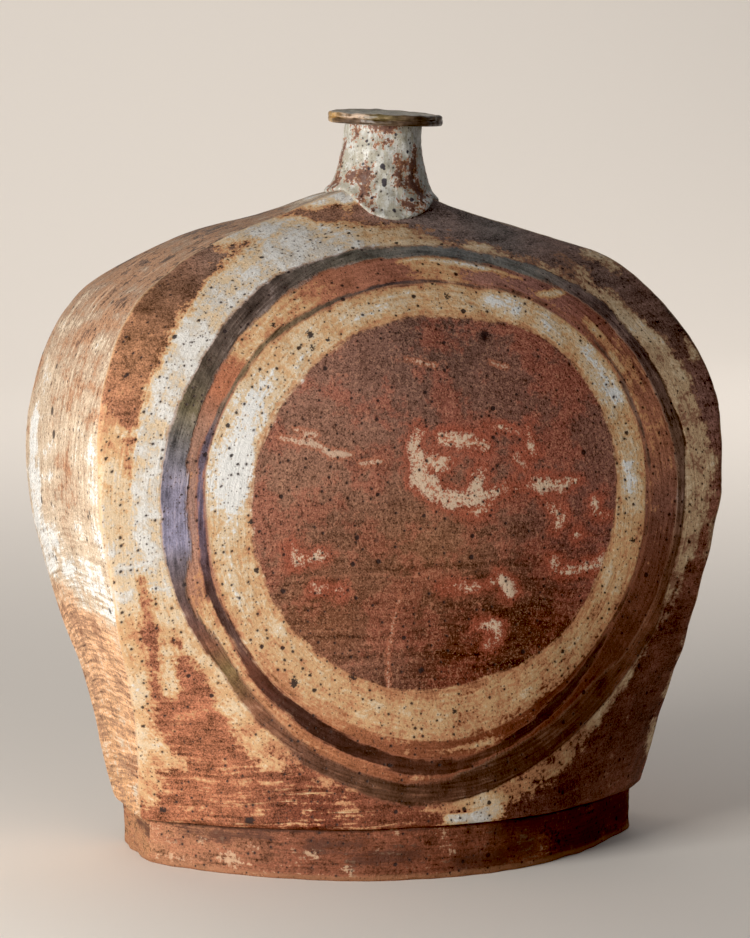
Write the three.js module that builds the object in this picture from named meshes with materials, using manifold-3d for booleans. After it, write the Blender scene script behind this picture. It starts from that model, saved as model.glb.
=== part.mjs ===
// A bottle vase put together from slabs of stoneware, in millimetres with +Z up. The table is z = 0,
// x = 0 halves the width of the body, y = 0 halves its depth, and the front face looks along -Y.
import * as THREE from 'three';
import { mergeVertices } from 'three/addons/utils/BufferGeometryUtils.js';
import Module from 'manifold-3d';

const wasm = await Module();
wasm.setup();

// Clay and joints
const wallThickness = 8;
const slipGap = 0.3;
const seamSetback = slipGap * Math.SQRT1_2;

// Foot band, a little smaller than the body that stands on it, with its top arched along x. It
// reaches in past the walls as a ledge for the floor.
const footHeight = 24.5;
const footArch = 4;
const footArchFade = 55;
const footSideRecess = 5;
const footFaceRecess = 2;
const footLedge = 8;
const footThickness = wallThickness - footFaceRecess + footLedge;

// Floor of the body, and the coils pressed into the seams inside
const floorThickness = 8;
const coilRadius = 4;
const coilEndClearance = 14;

// Throat cut in the top of the body, which ends inside its wall by the covers, with the rolled collar
// that stands over it. The collar flares to its base, higher over the side strips than over the faces.
const neckOffset = 7.6;
const throatRise = 336;
const throatRadius = 17.5;
const throatEdgeCover = 5.5;
const throatFaceCover = 3.5;
const collarHeight = 32;
const collarWall = 7;
const collarTopRadius = 21;
const collarSeatWidth = 10.5;
const collarSideRise = 14;
const collarFlare = 2.4;
const collarLean = 2.3;
const collarSkirt = 14;
const lapStep = 1.5;
const lapSpread = 0.35;
const lapAngle = THREE.MathUtils.degToRad(192);
const lapWidth = THREE.MathUtils.degToRad(3);

// Rim flange, two layers thick, dished, a little off centre and leaning down to the right
const rimOverhang = 10;
const rimOffset = 1.6;
const rimThickness = 6;
const rimLayerStep = 0.6;
const rimDish = 1.2;
const rimBoreRound = 2;
const rimWobble = 0.6;
const rimWobbleLobes = 3;
const rimSlope = Math.tan(THREE.MathUtils.degToRad(2.2));

// Stations up the body. left and right give how far each ridge stands from x = 0 and how high above
// the foot, edge is half the width of the side strips and face is the depth at the middle of a face.
const stations = [
  { left: [139.5, 0], right: [149.5, 0], edge: 29.5, face: 111 },
  { left: [147.5, 55], right: [156, 55], edge: 51, face: 104 },
  { left: [163, 115], right: [164, 115], edge: 75.5, face: 100 },
  { left: [173.5, 175], right: [173.5, 175], edge: 83, face: 98 },
  { left: [171.5, 225], right: [172, 225], edge: 75.5, face: 93 },
  { left: [152.5, 272], right: [157.5, 262], edge: 59, face: 79 },
  { left: [122.5, 296.5], right: [127.5, 293], edge: 41, face: 58 },
  { left: [92.5, 310], right: [97.5, 305], edge: 30, face: 43 },
  { left: [57.5, 320.5], right: [62.5, 316], edge: 17, face: 29 },
  { left: [26.5, 331], right: [36, 326], edge: 13.5, face: 20.5 },
  {
    left: [throatRadius - throatEdgeCover - neckOffset, throatRise],
    right: [throatRadius - throatEdgeCover + neckOffset, throatRise],
    edge: throatRadius - throatEdgeCover,
    face: throatRadius - throatFaceCover,
  },
];
const faceFullness = 2.14;
const stripCrownRadius = 850;

// Mesh steps
const rowsPerStation = 3;
const faceSteps = 20;
const stripSteps = 5;
const coilSides = 6;
const throatSteps = 24;
const shoulderSteps = 300;
const collarSteps = 24;
const collarRows = 7;
const rimSteps = 32;
const lipSteps = 3;

const rows = (stations.length - 1) * rowsPerStation;
const bodyBase = footHeight + slipGap;
const throatHeight = bodyBase + throatRise;
const rimUnderside = throatHeight + collarHeight;
const collarBaseRadius = throatRadius + collarSeatWidth;
const boreRadius = collarTopRadius - collarWall;
const rimRadius = collarTopRadius + rimOverhang;
const { lerp } = THREE.MathUtils;

// Numbers from start to end in equal steps, both ends included
function spread(start, end, steps) {
  return Array.from({ length: steps + 1 }, (_, i) => lerp(start, end, i / steps));
}

// One smooth curve up the body through a point made from each station
function stationCurve(toPoint) {
  return new THREE.CatmullRomCurve3(stations.map(toPoint), false, 'centripetal');
}

const ridgeCurves = {
  left: stationCurve((s) => new THREE.Vector3(-s.left[0], s.edge, s.left[1])),
  right: stationCurve((s) => new THREE.Vector3(s.right[0], s.edge, s.right[1])),
};
const faceCurve = stationCurve((s) => new THREE.Vector3(s.face, 0, (s.left[1] + s.right[1]) / 2));

const seatCentre = (stations[0].right[0] - stations[0].left[0]) / 2;
const seatHalfWidth = (stations[0].right[0] + stations[0].left[0]) / 2;

// How much the arched top of the foot stands above its ends at x
function archAt(x) {
  const across = (x - seatCentre) / seatHalfWidth;
  return footArch * (1 - across * across);
}

// A point of the body. Its lowest row lies on the foot, and the arch fades out above it.
function bodyPoint(x, y, z, t) {
  const level = t === 0 ? bodyBase : z;
  const fade = Math.max(0, 1 - (level - bodyBase) / footArchFade);
  return new THREE.Vector3(x, y, level + archAt(x) * fade);
}

// The ridge of one side at t, from 0 at the foot to 1 at the throat, drawn in by inset along the
// outline's normal. half is the half width of the side strip there.
function ridgeAt(side, t, inset) {
  const curve = side < 0 ? ridgeCurves.left : ridgeCurves.right;
  const point = curve.getPoint(t);
  const tangent = curve.getTangent(t);
  const length = Math.hypot(tangent.x, tangent.z);
  const normalX = (side * tangent.z) / length;
  const normalZ = (-side * tangent.x) / length;
  return {
    x: point.x - inset * normalX,
    z: bodyBase + point.z - inset * normalZ,
    half: point.y,
    normalX,
    normalZ,
  };
}

// A point of the front (facing 1) or back (facing -1) slab. u runs from -1 at the left ridge to 1 at
// the right one, and the slab swells between them as 1 - |u| to the power faceFullness.
function faceAt(facing, u, t, inset) {
  const left = ridgeAt(-1, t, inset + seamSetback);
  const right = ridgeAt(1, t, inset + seamSetback);
  const across = (u + 1) / 2;
  const x = lerp(left.x, right.x, across);
  const z = lerp(left.z, right.z, across);
  const edge = lerp(left.half, right.half, across) - inset;
  const middle = faceCurve.getPoint(t).x - inset;
  const depth = edge + (middle - edge) * (1 - Math.abs(u) ** faceFullness);
  return bodyPoint(x, -facing * depth, z, t);
}

// A point of the left (side -1) or right (side 1) strip, v from -1 at the front ridge to 1 at the
// back. The strip is crowned across its width on a large radius.
function stripAt(side, v, t, inset) {
  const ridge = ridgeAt(side, t, inset);
  const crown = ((1 - v * v) * ridge.half ** 2) / (2 * stripCrownRadius);
  const x = ridge.x + crown * ridge.normalX;
  const z = ridge.z + crown * ridge.normalZ;
  return bodyPoint(x, v * (ridge.half - inset - seamSetback), z, t);
}

// Right round the body at t. Point i and point count - 1 - i mirror each other in y = 0.
function bodyRing(t, inset) {
  const halfStrip = spread(-1, 1, stripSteps).filter((v) => v > -1 && v < 0);
  const front = [
    ...halfStrip.toReversed().map((v) => stripAt(-1, v, t, inset)),
    ...spread(-1, 1, faceSteps).map((u) => faceAt(1, u, t, inset)),
    ...halfStrip.map((v) => stripAt(1, v, t, inset)),
  ];
  const back = front.map((p) => new THREE.Vector3(p.x, -p.y, p.z));
  return [...front, ...back.toReversed()];
}

// The same ring at a height above the body's base, on the flat facets between the two lowest rows
function lowRing(rise, inset) {
  const lower = bodyRing(0, inset);
  const upper = bodyRing(1 / rows, inset);
  return lower.map((p, i) => {
    const share = rise / (upper[i].z - p.z);
    return p.clone().lerp(upper[i], share);
  });
}

// A closed solid through rings of points. An open row of rings is capped at both ends by strips
// between point i and point count - 1 - i. The faces are turned outwards at the end.
function loft(rings, closed = false) {
  const count = rings[0].length;
  const points = rings.flat();
  const triangles = [];
  const at = (ring, i) => (ring % rings.length) * count + (i % count);
  const quad = (a, b, c, d) => triangles.push([a, b, c], [a, c, d]);
  const last = rings.length - 1;
  for (let ring = 0; ring < (closed ? rings.length : last); ring += 1) {
    for (let i = 0; i < count; i += 1) {
      quad(at(ring, i), at(ring, i + 1), at(ring + 1, i + 1), at(ring + 1, i));
    }
  }
  for (let i = 0; !closed && i < count / 2 - 1; i += 1) {
    const mirror = count - 1 - i;
    quad(at(0, i + 1), at(0, i), at(0, mirror), at(0, mirror - 1));
    quad(at(last, i), at(last, i + 1), at(last, mirror - 1), at(last, mirror));
  }
  const cross = new THREE.Vector3();
  const volume = triangles.reduce(
    (sum, [a, b, c]) => sum + points[a].dot(cross.crossVectors(points[b], points[c])),
    0,
  );
  const outward = volume > 0 ? triangles : triangles.map(([a, b, c]) => [a, c, b]);
  const geometry = new THREE.BufferGeometry().setFromPoints(points);
  geometry.setIndex(outward.flat());
  return geometry;
}

// Boolean difference of two closed geometries
function subtract(geometry, tool) {
  const [kept, removed] = [geometry, tool].map((source) => {
    const bare = source.clone();
    bare.deleteAttribute('normal');
    bare.deleteAttribute('uv');
    const merged = mergeVertices(bare);
    return new wasm.Manifold(
      new wasm.Mesh({
        numProp: 3,
        vertProperties: merged.attributes.position.array,
        triVerts: Uint32Array.from(merged.index.array),
      }),
    );
  });
  const mesh = kept.subtract(removed).getMesh();
  const result = new THREE.BufferGeometry();
  result.setAttribute('position', new THREE.BufferAttribute(mesh.vertProperties, 3));
  result.setIndex(new THREE.BufferAttribute(mesh.triVerts, 1));
  return result;
}

// A slab with an outer and an inner surface, given as pointAt(across, t, inset) on -1 to 1 across
function slab(pointAt, steps) {
  const across = spread(-1, 1, steps);
  return loft(
    spread(0, 1, rows).map((t) => [
      ...across.map((u) => pointAt(u, t, 0)),
      ...across.toReversed().map((u) => pointAt(u, t, wallThickness)),
    ]),
  );
}

// The round hole under the collar, cut through all four slabs
const throat = new THREE.CylinderGeometry(throatRadius, throatRadius, throatRise, throatSteps);
throat.rotateX(Math.PI / 2).translate(neckOffset, 0, throatHeight);

function faceSlab(facing) {
  const whole = slab((u, t, inset) => faceAt(facing, u, t, inset), faceSteps);
  return subtract(whole, throat);
}

function sideStrip(side) {
  const whole = slab((v, t, inset) => stripAt(side, v, t, inset), stripSteps);
  return subtract(whole, throat);
}

function floorSlab() {
  const inset = wallThickness + slipGap;
  return loft([lowRing(0, inset), lowRing(floorThickness, inset)]);
}

// Plan of the foot band: the front or back face, or a side strip, drawn in by inset
function footFacePlan(facing, u, inset) {
  const half = seatHalfWidth - footSideRecess - inset - seamSetback;
  const edge = stations[0].edge - footFaceRecess - inset;
  const middle = stations[0].face - footFaceRecess - inset;
  const depth = edge + (middle - edge) * (1 - Math.abs(u) ** faceFullness);
  return new THREE.Vector2(seatCentre + u * half, -facing * depth);
}

function footSidePlan(side, v, inset) {
  const half = seatHalfWidth - footSideRecess - inset;
  const edge = stations[0].edge - footFaceRecess - inset - seamSetback;
  return new THREE.Vector2(seatCentre + side * half, v * edge);
}

// A strip of the foot band, flat below and arched on top
function footStrip(planAt, steps) {
  const sections = spread(-1, 1, steps).map((u) => {
    const outer = planAt(u, 0);
    const inner = planAt(u, footThickness);
    const top = (p) => new THREE.Vector3(p.x, p.y, footHeight + archAt(p.x));
    const bottom = (p) => new THREE.Vector3(p.x, p.y, 0);
    return [bottom(outer), top(outer), top(inner), bottom(inner)];
  });
  return loft(sections);
}

// A round coil of clay. Each frame has a centre and two unit directions across the coil.
function coil(frames, closed) {
  const rings = frames.map(({ centre, first, second }) => {
    const turns = spread(0, 2 * Math.PI, coilSides).slice(0, coilSides);
    return turns.map((angle) => {
      const point = centre.clone().addScaledVector(first, coilRadius * Math.cos(angle));
      return point.addScaledVector(second, coilRadius * Math.sin(angle));
    });
  });
  return loft(rings, closed);
}

// The coil that lies right round the floor, in the corner between the floor and the walls
function floorCoil() {
  const centreRise = floorThickness + slipGap + coilRadius;
  const path = lowRing(centreRise, wallThickness + slipGap + coilRadius);
  const up = new THREE.Vector3(0, 0, 1);
  const frames = path.map((centre, i) => {
    const before = path[(i + path.length - 1) % path.length];
    const after = path[(i + 1) % path.length];
    const along = after.clone().sub(before).normalize();
    return { centre, first: along.clone().cross(up).normalize(), second: up };
  });
  return coil(frames, true);
}

// A coil in the corner between a side strip and a face, touching both but for the slip gap
function seamCoil(side, facing) {
  const startRise = floorThickness + 2 * coilRadius + 4 * slipGap;
  const start = startRise / (stations[1].left[1] * (stations.length - 1));
  const endHalf = wallThickness + 2 * coilRadius + coilEndClearance;
  const levels = spread(0, 1, rows);
  const end = levels.findLast((t) => ridgeAt(side, t, 0).half >= endHalf);
  const frames = [start, ...levels.filter((t) => t > start && t <= end)].map((t) => {
    const corner = faceAt(facing, side, t, wallThickness);
    const along = faceAt(facing, side, t + 1 / rows, wallThickness).sub(corner);
    const across = faceAt(facing, side * (1 - 2 / faceSteps), t, wallThickness).sub(corner);
    const fromFace = along.cross(across).normalize();
    fromFace.multiplyScalar(Math.sign(fromFace.y) * facing);
    const ridge = ridgeAt(side, t, wallThickness);
    const fromStrip = new THREE.Vector3(-ridge.normalX, 0, -ridge.normalZ);
    const reach = (coilRadius + slipGap) / (1 + fromFace.dot(fromStrip));
    const centre = corner.addScaledVector(fromFace, reach).addScaledVector(fromStrip, reach);
    return {
      centre,
      first: fromFace.clone().add(fromStrip).normalize(),
      second: fromFace.clone().sub(fromStrip).normalize(),
    };
  });
  return coil(frames, false);
}

// A ring round the neck's axis, given for each angle as a closed section of points that hold their
// radius, their height and how far left of the axis they lean
function turned(angles, sectionAt) {
  const sections = angles.map((angle) =>
    sectionAt(angle).map(({ radius, z, lean = 0 }) => {
      const x = neckOffset - lean + radius * Math.cos(angle);
      return new THREE.Vector3(x, radius * Math.sin(angle), z);
    }),
  );
  return loft(sections, true);
}

// The rim's underside leans, so its height depends on the radius and the angle
const rimSeat = (radius, angle) => rimUnderside - rimSlope * radius * Math.cos(angle);

// Height on the front of the shoulder where it is as deep as the collar's base is wide
const shoulderLevels = spread(0, 1, shoulderSteps).map((t) => faceCurve.getPoint(t));
const collarBase = bodyBase + shoulderLevels.findLast((p) => p.x >= collarBaseRadius).z;

// The collar is a slab rolled into a tube. It laps over itself, and the step dies away from the lap.
// Its lower end is cut to the shape of the shoulder.
function neckCollar() {
  const angles = spread(lapAngle, lapAngle + 2 * Math.PI - lapWidth, collarSteps);
  const collar = turned(angles, (angle) => {
    const turn = (angle - lapAngle) / (2 * Math.PI);
    const lap = lapStep * Math.max(0, 1 - turn / lapSpread);
    const base = collarBase + collarSideRise * Math.cos(angle) ** 2;
    const side = (thickness) =>
      spread(base - collarSkirt, rimUnderside, collarRows).map((level, i) => {
        const down = (rimUnderside - level) / (rimUnderside - base);
        const flared = collarTopRadius + (collarBaseRadius - collarTopRadius) * down ** collarFlare;
        const radius = flared + thickness;
        const z = i < collarRows ? level : rimSeat(radius, angle) - slipGap;
        return { radius, z, lean: collarLean * down };
      });
    return [...side(lap), ...side(-collarWall).toReversed()];
  });
  const body = loft(spread(0, 1, rows).map((t) => bodyRing(t, -slipGap - seamSetback)));
  return subtract(collar, body);
}

// The flange has two rounded layers at its edge, a dished top and a hole as wide as the collar's
function rimFlange() {
  const lip = rimThickness / 4;
  const boreRound = Math.min(rimBoreRound, (rimThickness - rimDish) / 2);
  const angles = spread(0, 2 * Math.PI, rimSteps).slice(0, rimSteps);
  return turned(angles, (angle) => {
    const wobble = rimWobble * Math.sin(rimWobbleLobes * angle);
    const edge = rimRadius + rimOffset * Math.cos(angle) + wobble;
    const layer = (setback, middle, from) =>
      spread(-Math.PI / 2, Math.PI / 2, lipSteps)
        .slice(from)
        .map((a) => [edge - setback - lip + lip * Math.cos(a), middle + lip * Math.sin(a)]);
    const profile = [
      [boreRadius, 0],
      ...layer(0, lip, 0),
      ...layer(rimLayerStep, 3 * lip, 1),
      [boreRadius + boreRound, rimThickness - rimDish],
      [boreRadius, rimThickness - rimDish - boreRound],
    ];
    return profile.map(([radius, rise]) => ({ radius, z: rimSeat(radius, angle) + rise }));
  });
}

// Fired surfaces: brushed slip over iron clay, bare clay inside, and a glossier ash edge on the rim
const finish = (color, roughness) => new THREE.MeshStandardMaterial({ color, roughness, metalness: 0 });
const faceSlip = finish(0x8a4b30, 0.6);
const sideSlip = finish(0xb98a63, 0.62);
const footClay = finish(0x7d4429, 0.7);
const neckSlip = finish(0xb5aa98, 0.5);
const rimAsh = finish(0x6f5f3c, 0.35);
const bareClay = finish(0x9a7358, 0.85);

const vase = new THREE.Group();

function add(name, geometry, material) {
  const mesh = new THREE.Mesh(geometry, material);
  geometry.computeVertexNormals();
  mesh.name = name;
  vase.add(mesh);
}

add('foot_front', footStrip((u, inset) => footFacePlan(1, u, inset), faceSteps), footClay);
add('foot_back', footStrip((u, inset) => footFacePlan(-1, u, inset), faceSteps), footClay);
add('foot_left', footStrip((v, inset) => footSidePlan(-1, v, inset), stripSteps), footClay);
add('foot_right', footStrip((v, inset) => footSidePlan(1, v, inset), stripSteps), footClay);
add('floor_slab', floorSlab(), bareClay);
add('front_slab', faceSlab(1), faceSlip);
add('back_slab', faceSlab(-1), faceSlip);
add('left_side_strip', sideStrip(-1), sideSlip);
add('right_side_strip', sideStrip(1), sideSlip);
add('neck_collar', neckCollar(), neckSlip);
add('rim_flange', rimFlange(), rimAsh);
add('floor_coil', floorCoil(), bareClay);
add('front_left_coil', seamCoil(-1, 1), bareClay);
add('front_right_coil', seamCoil(1, 1), bareClay);
add('back_left_coil', seamCoil(-1, -1), bareClay);
add('back_right_coil', seamCoil(1, -1), bareClay);

export default vase;
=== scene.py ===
"""The slab-built stoneware bottle vase, dressed for a render.

Lengths are millimetres and become metres where a mesh is made. The vase stands on z = 0 with its
painted front towards -y. The skins repeat the construction's own curves, closed up at the joints and
worn along the ridges.
"""

import math

import bpy
import numpy as np
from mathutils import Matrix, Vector


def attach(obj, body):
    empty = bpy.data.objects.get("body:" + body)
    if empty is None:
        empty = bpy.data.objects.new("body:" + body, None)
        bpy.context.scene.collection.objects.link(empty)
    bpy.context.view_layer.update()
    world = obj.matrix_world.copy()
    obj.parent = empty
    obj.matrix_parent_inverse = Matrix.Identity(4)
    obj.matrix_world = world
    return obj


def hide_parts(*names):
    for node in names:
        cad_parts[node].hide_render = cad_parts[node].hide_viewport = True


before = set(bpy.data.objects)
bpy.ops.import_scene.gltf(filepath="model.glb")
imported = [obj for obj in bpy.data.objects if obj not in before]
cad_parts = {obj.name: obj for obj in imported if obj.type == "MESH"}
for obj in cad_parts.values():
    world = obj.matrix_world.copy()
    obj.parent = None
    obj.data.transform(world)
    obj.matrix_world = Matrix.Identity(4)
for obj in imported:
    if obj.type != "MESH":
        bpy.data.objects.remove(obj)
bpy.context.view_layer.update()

MM = 0.001

# Body: walls, foot and the curves up the ridges, as in the construction
WALL = 8.0
SLIP_GAP = 0.3
FOOT_HEIGHT = 24.5
FOOT_ARCH = 4.0
FOOT_ARCH_FADE = 55.0
FOOT_SIDE_RECESS = 5.0
FOOT_FACE_RECESS = 2.0
FOOT_THICKNESS = 14.0
FACE_FULLNESS = 2.14
STRIP_CROWN_RADIUS = 850.0

# Left half width and rise, right half width and rise, half width of the side strips, face depth
STATIONS = np.array([
    (139.5, 0, 149.5, 0, 29.5, 111),
    (147.5, 55, 156, 55, 51, 104),
    (163, 115, 164, 115, 75.5, 100),
    (173.5, 175, 173.5, 175, 83, 98),
    (171.5, 225, 172, 225, 75.5, 93),
    (152.5, 272, 157.5, 262, 59, 79),
    (122.5, 296.5, 127.5, 293, 41, 58),
    (92.5, 310, 97.5, 305, 30, 43),
    (57.5, 320.5, 62.5, 316, 17, 29),
    (26.5, 331, 36, 326, 13.5, 20.5),
    (4.4, 336, 19.6, 336, 12, 14),
])
LEFT_RIDGE = np.stack([-STATIONS[:, 0], STATIONS[:, 4], STATIONS[:, 1]], -1)
RIGHT_RIDGE = np.stack([STATIONS[:, 2], STATIONS[:, 4], STATIONS[:, 3]], -1)
MEAN_RISE = (STATIONS[:, 1] + STATIONS[:, 3]) / 2
FACE_DEPTH = np.stack([STATIONS[:, 5], np.zeros(len(STATIONS)), MEAN_RISE], -1)

BODY_BASE = FOOT_HEIGHT + SLIP_GAP
SEAT_CENTRE = (STATIONS[0, 2] - STATIONS[0, 0]) / 2
SEAT_HALF = (STATIONS[0, 2] + STATIONS[0, 0]) / 2

# Neck and rim
NECK_X = 7.6
THROAT_RADIUS = 17.5
THROAT_HEIGHT = BODY_BASE + STATIONS[-1, 1]
COLLAR_HEIGHT = 32.0
COLLAR_WALL = 7.0
COLLAR_TOP_RADIUS = 21.0
COLLAR_BASE_RADIUS = 28.0
COLLAR_SIDE_RISE = 14.0
COLLAR_FLARE = 2.4
COLLAR_LEAN = 2.3
LAP_STEP = 1.5
LAP_SPREAD = 0.35
LAP_ANGLE = math.radians(192)
LAP_WIDTH = math.radians(3)
COLLAR_SINK = 0.5
LIP_BULGE = 1.5
LIP_RISE = 1.6
LIP_SPREAD = 2.6
LIP_UNDERCUT = 2.2
UNDERCUT_RISE = 1.8
RIM_UNDERSIDE = THROAT_HEIGHT + COLLAR_HEIGHT
RIM_OVERHANG = 10.0
RIM_OFFSET = 1.6
RIM_THICKNESS = 6.0
RIM_DISH = 1.2
RIM_WOBBLE = 0.6
RIM_SLOPE = math.tan(math.radians(2.2))
RIM_CURL = 2.0
RIM_BACK_LIFT = 1.3
LOW_ROLL_TUCK = 1.7
HIGH_ROLL_INSET = 0.6
HIGH_ROLL_REACH = 0.7
TUCK_ANGLE = 232
BORE_RADIUS = COLLAR_TOP_RADIUS - COLLAR_WALL

# Wear of the edges, as the reach of their rounding
RIDGE_WEAR = 2.6
RIDGE_WEAR_LEAST = 1.0
BASE_WEAR = 2.4
FOOT_CORNER_WEAR = 6.0
FOOT_LOW_WEAR = 1.7
FOOT_HIGH_WEAR = 1.9

# Waves that hands leave in clay: height, wavelength and seed of each
BODY_WAVES = ((0.4, 80.0, 11), (0.09, 27.0, 12), (0.035, 9.0, 13))
FOOT_WAVES = ((0.3, 40, 63), (0.16, 13, 64))
FOOT_LINES = ((0.08, 4, 65),)
COLLAR_WAVES = ((0.35, 22, 71), (0.16, 8, 72), (0.05, 3, 73))
LOW_ROLL_WAVES = ((0.35, 20, 81), (0.12, 5, 82))
HIGH_ROLL_WAVES = ((0.4, 17, 83), (0.13, 4.5, 84))

# Heights of the rows of points next to the foot's bottom and top edges, and shares of the way up the
# collar of those next to its base
FOOT_LOW_LEVELS = (0, 0.25, 0.6, 1.1, 1.8)
FOOT_HIGH_LEVELS = (22.4, 23.1, 23.7, 24.1, 24.4, 24.5)
COLLAR_LOW_SHARES = (0, 0.006, 0.014, 0.024, 0.038, 0.056, 0.078)

# Rows and columns of the meshes, how many columns to each side a worn corner moves, and the half length
# that the foot's columns are laid out on
ROWS = 330
FACE_COLUMNS = 251
STRIP_COLUMNS = 121
FACE_INNER_COLUMNS = 26
STRIP_INNER_COLUMNS = 13
NECK_ROWS = 130
CORNER_REACH = 12
FOOT_HALF_LENGTH = 139.0
FOOT_COLUMNS = 271
FOOT_END_COLUMNS = 61
COLLAR_TURNS = 300
COLLAR_LEVELS = 70
RIM_TURNS = 320

# Glazes and slips that several pieces share, as linear colours
WHITE = (0.66, 0.65, 0.63)
CHALK = (0.53, 0.48, 0.42)
CREAM = (0.6, 0.46, 0.31)
OCHRE = (0.54, 0.335, 0.18)
TAN = (0.46, 0.225, 0.12)
RUST = (0.33, 0.13, 0.08)
DUSTY_RED = (0.25, 0.13, 0.1)
DARK_RUST = (0.15, 0.065, 0.05)
UMBER = (0.1, 0.055, 0.042)
GREY_BROWN = (0.2, 0.13, 0.108)
SLATE = (0.14, 0.132, 0.125)
OLIVE = (0.14, 0.12, 0.07)
PLUM = (0.1, 0.085, 0.095)
SPECK = (0.035, 0.026, 0.026)
BARE_CLAY = (0.5, 0.36, 0.26)
SHADED_CLAY = (0.4, 0.24, 0.15)
FINE_SPECK = (0.075, 0.042, 0.032)

# Colours of the faces: ground, rings, disc, its pale patches and its scratches
# Tan and ochre of thin glaze towards the right of the faces: partly the glaze's own tone, partly painted
# shade
PAINTED_SHADE_TAN = (0.27, 0.15, 0.1)
PAINTED_SHADE_OCHRE = (0.46, 0.32, 0.2)
RUSTY_EDGE = (0.2, 0.09, 0.06)
BACK_RUST = (0.2, 0.09, 0.07)
DISC_BRICK = (0.3, 0.086, 0.058)
DISC_SAND = (0.42, 0.235, 0.14)
DISC_PIT = (0.05, 0.025, 0.02)
PATCH_HALO = (0.34, 0.094, 0.058)
PATCH_THIN = (0.42, 0.15, 0.09)
PATCH_MIDDLE = (0.48, 0.24, 0.16)
PATCH_THICK = (0.6, 0.45, 0.33)
SCRATCH_EDGE = (0.42, 0.16, 0.095)
SCRATCH_CLAY = (0.58, 0.42, 0.31)

# Colours of the side strips
SIDE_TAN = (0.4, 0.225, 0.135)
SIDE_CREAM = (0.54, 0.43, 0.32)
SIDE_SCRAPE = (0.54, 0.42, 0.31)
SIDE_WORN = (0.5, 0.38, 0.27)

# Colours of the foot
FOOT_BROWN = (0.2, 0.095, 0.065)
FOOT_FRONT_BROWN = (0.15, 0.058, 0.039)
FOOT_LEFT_OCHRE = (0.42, 0.21, 0.11)
FOOT_EMBER = (0.22, 0.075, 0.045)
FOOT_ASH = (0.58, 0.38, 0.24)
FOOT_SOOT = (0.075, 0.036, 0.028)
# Dark slip in the seam under the body, deepened as painted shadow under its overhang
FOOT_SEAM_SHADE = (0.055, 0.03, 0.025)
FOOT_FLECK = (0.52, 0.35, 0.23)
FOOT_RUBBED = (0.34, 0.17, 0.095)

# Colours of the neck
NECK_GREY = (0.4, 0.375, 0.31)
NECK_WHITE = (0.6, 0.6, 0.57)
NECK_THIN = (0.34, 0.25, 0.16)
NECK_RUST_EDGE = (0.38, 0.16, 0.075)
NECK_RUST_HEART = (0.11, 0.042, 0.028)
NECK_SPECK = (0.04, 0.035, 0.045)

# Colours of the rim, and of the paper behind the vase
RIM_OLIVE = (0.16, 0.11, 0.065)
# Painted shade for the lower roll in front, under the upper roll
RIM_PAINTED_SHADE = (0.07, 0.045, 0.032)
RIM_TOP = (0.25, 0.235, 0.18)
RIM_UNDER = (0.2, 0.17, 0.14)
# Painted highlight on the upper roll at the front left
RIM_PAINTED_HIGHLIGHT = (0.56, 0.43, 0.33)
PAPER = (0.78, 0.74, 0.69)

# Painted rings on the front: their centre, and by angle in degrees, anticlockwise from the right, the
# edge of the disc, the outer edge of the cream ring, the thin line round it, the broad dark ring and the
# loose pale ring outside
RING_X = 6.0
RING_Z = 193.0
DISC_RADIUS = {
    0: 101, 15: 105, 30: 107.5, 45: 109.4, 60: 108.8, 75: 103.8, 90: 102.5, 120: 102, 150: 102,
    180: 101.5, 210: 98.7, 240: 95.6, 270: 93, 285: 92, 300: 95, 315: 98, 330: 99.8,
}
CREAM_RADIUS = {
    0: 119.5, 30: 125, 60: 124.6, 75: 120, 90: 119.2, 105: 119, 120: 121, 135: 125.6, 150: 126.6,
    165: 127.6, 180: 124, 195: 123, 210: 121.6, 225: 120.6, 240: 119.8, 270: 120.2, 300: 118.6,
    330: 119.4,
}
LINE_RADIUS = {
    0: 122, 15: 124.3, 27: 126, 35: 127.8, 45: 128.8, 52: 128.2, 60: 125.8, 75: 120.9, 90: 119.6,
    105: 119.8, 112: 120.6, 120: 122.3, 127: 124.8, 135: 127.3, 150: 128.5, 157: 129.7, 165: 130.3,
    172: 129, 180: 127.6, 195: 127.3, 203: 125.8, 210: 125, 217: 126, 225: 127.6, 233: 127.6, 240: 129.2,
    247: 130.6, 255: 132, 262: 134, 270: 133.8, 277: 132, 285: 130, 292: 128.6, 300: 126, 308: 124.7,
    315: 123, 322: 121.8, 330: 121, 345: 121,
}
LINE_HALF_WIDTH = {
    0: 0.9, 15: 1.1, 27: 1.7, 35: 1.1, 45: 0.7, 60: 0.6, 75: 0.6, 90: 0.8, 105: 0.9, 112: 1.1, 120: 1.6,
    127: 1.6, 135: 1.2, 150: 0.9, 157: 1.2, 165: 1.7, 172: 1.6, 180: 1.9, 195: 2.3, 210: 2.2, 217: 3.2,
    225: 4.3, 240: 4.6, 247: 4, 255: 3.8, 262: 4.3, 270: 4.1, 277: 3, 285: 2.1, 292: 2.6, 300: 3,
    308: 2.9, 315: 2.5, 322: 1.8, 330: 1, 345: 0.8,
}
DARK_INSIDE = {
    0: 139, 13: 139.5, 30: 141, 45: 140.5, 60: 137, 67: 134, 75: 132, 90: 131.4, 105: 133, 112: 135,
    120: 136, 135: 139, 150: 139.2, 165: 138.3, 172: 136.5, 180: 134.4, 188: 134.6, 194: 139, 200: 138,
    206: 135.6, 212: 134, 225: 136.5, 233: 139, 240: 140.5, 255: 142.5, 268: 141, 278: 136, 285: 134,
    300: 133.5, 314: 134.4, 322: 138.6, 330: 139.6, 345: 138.5,
}
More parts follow.
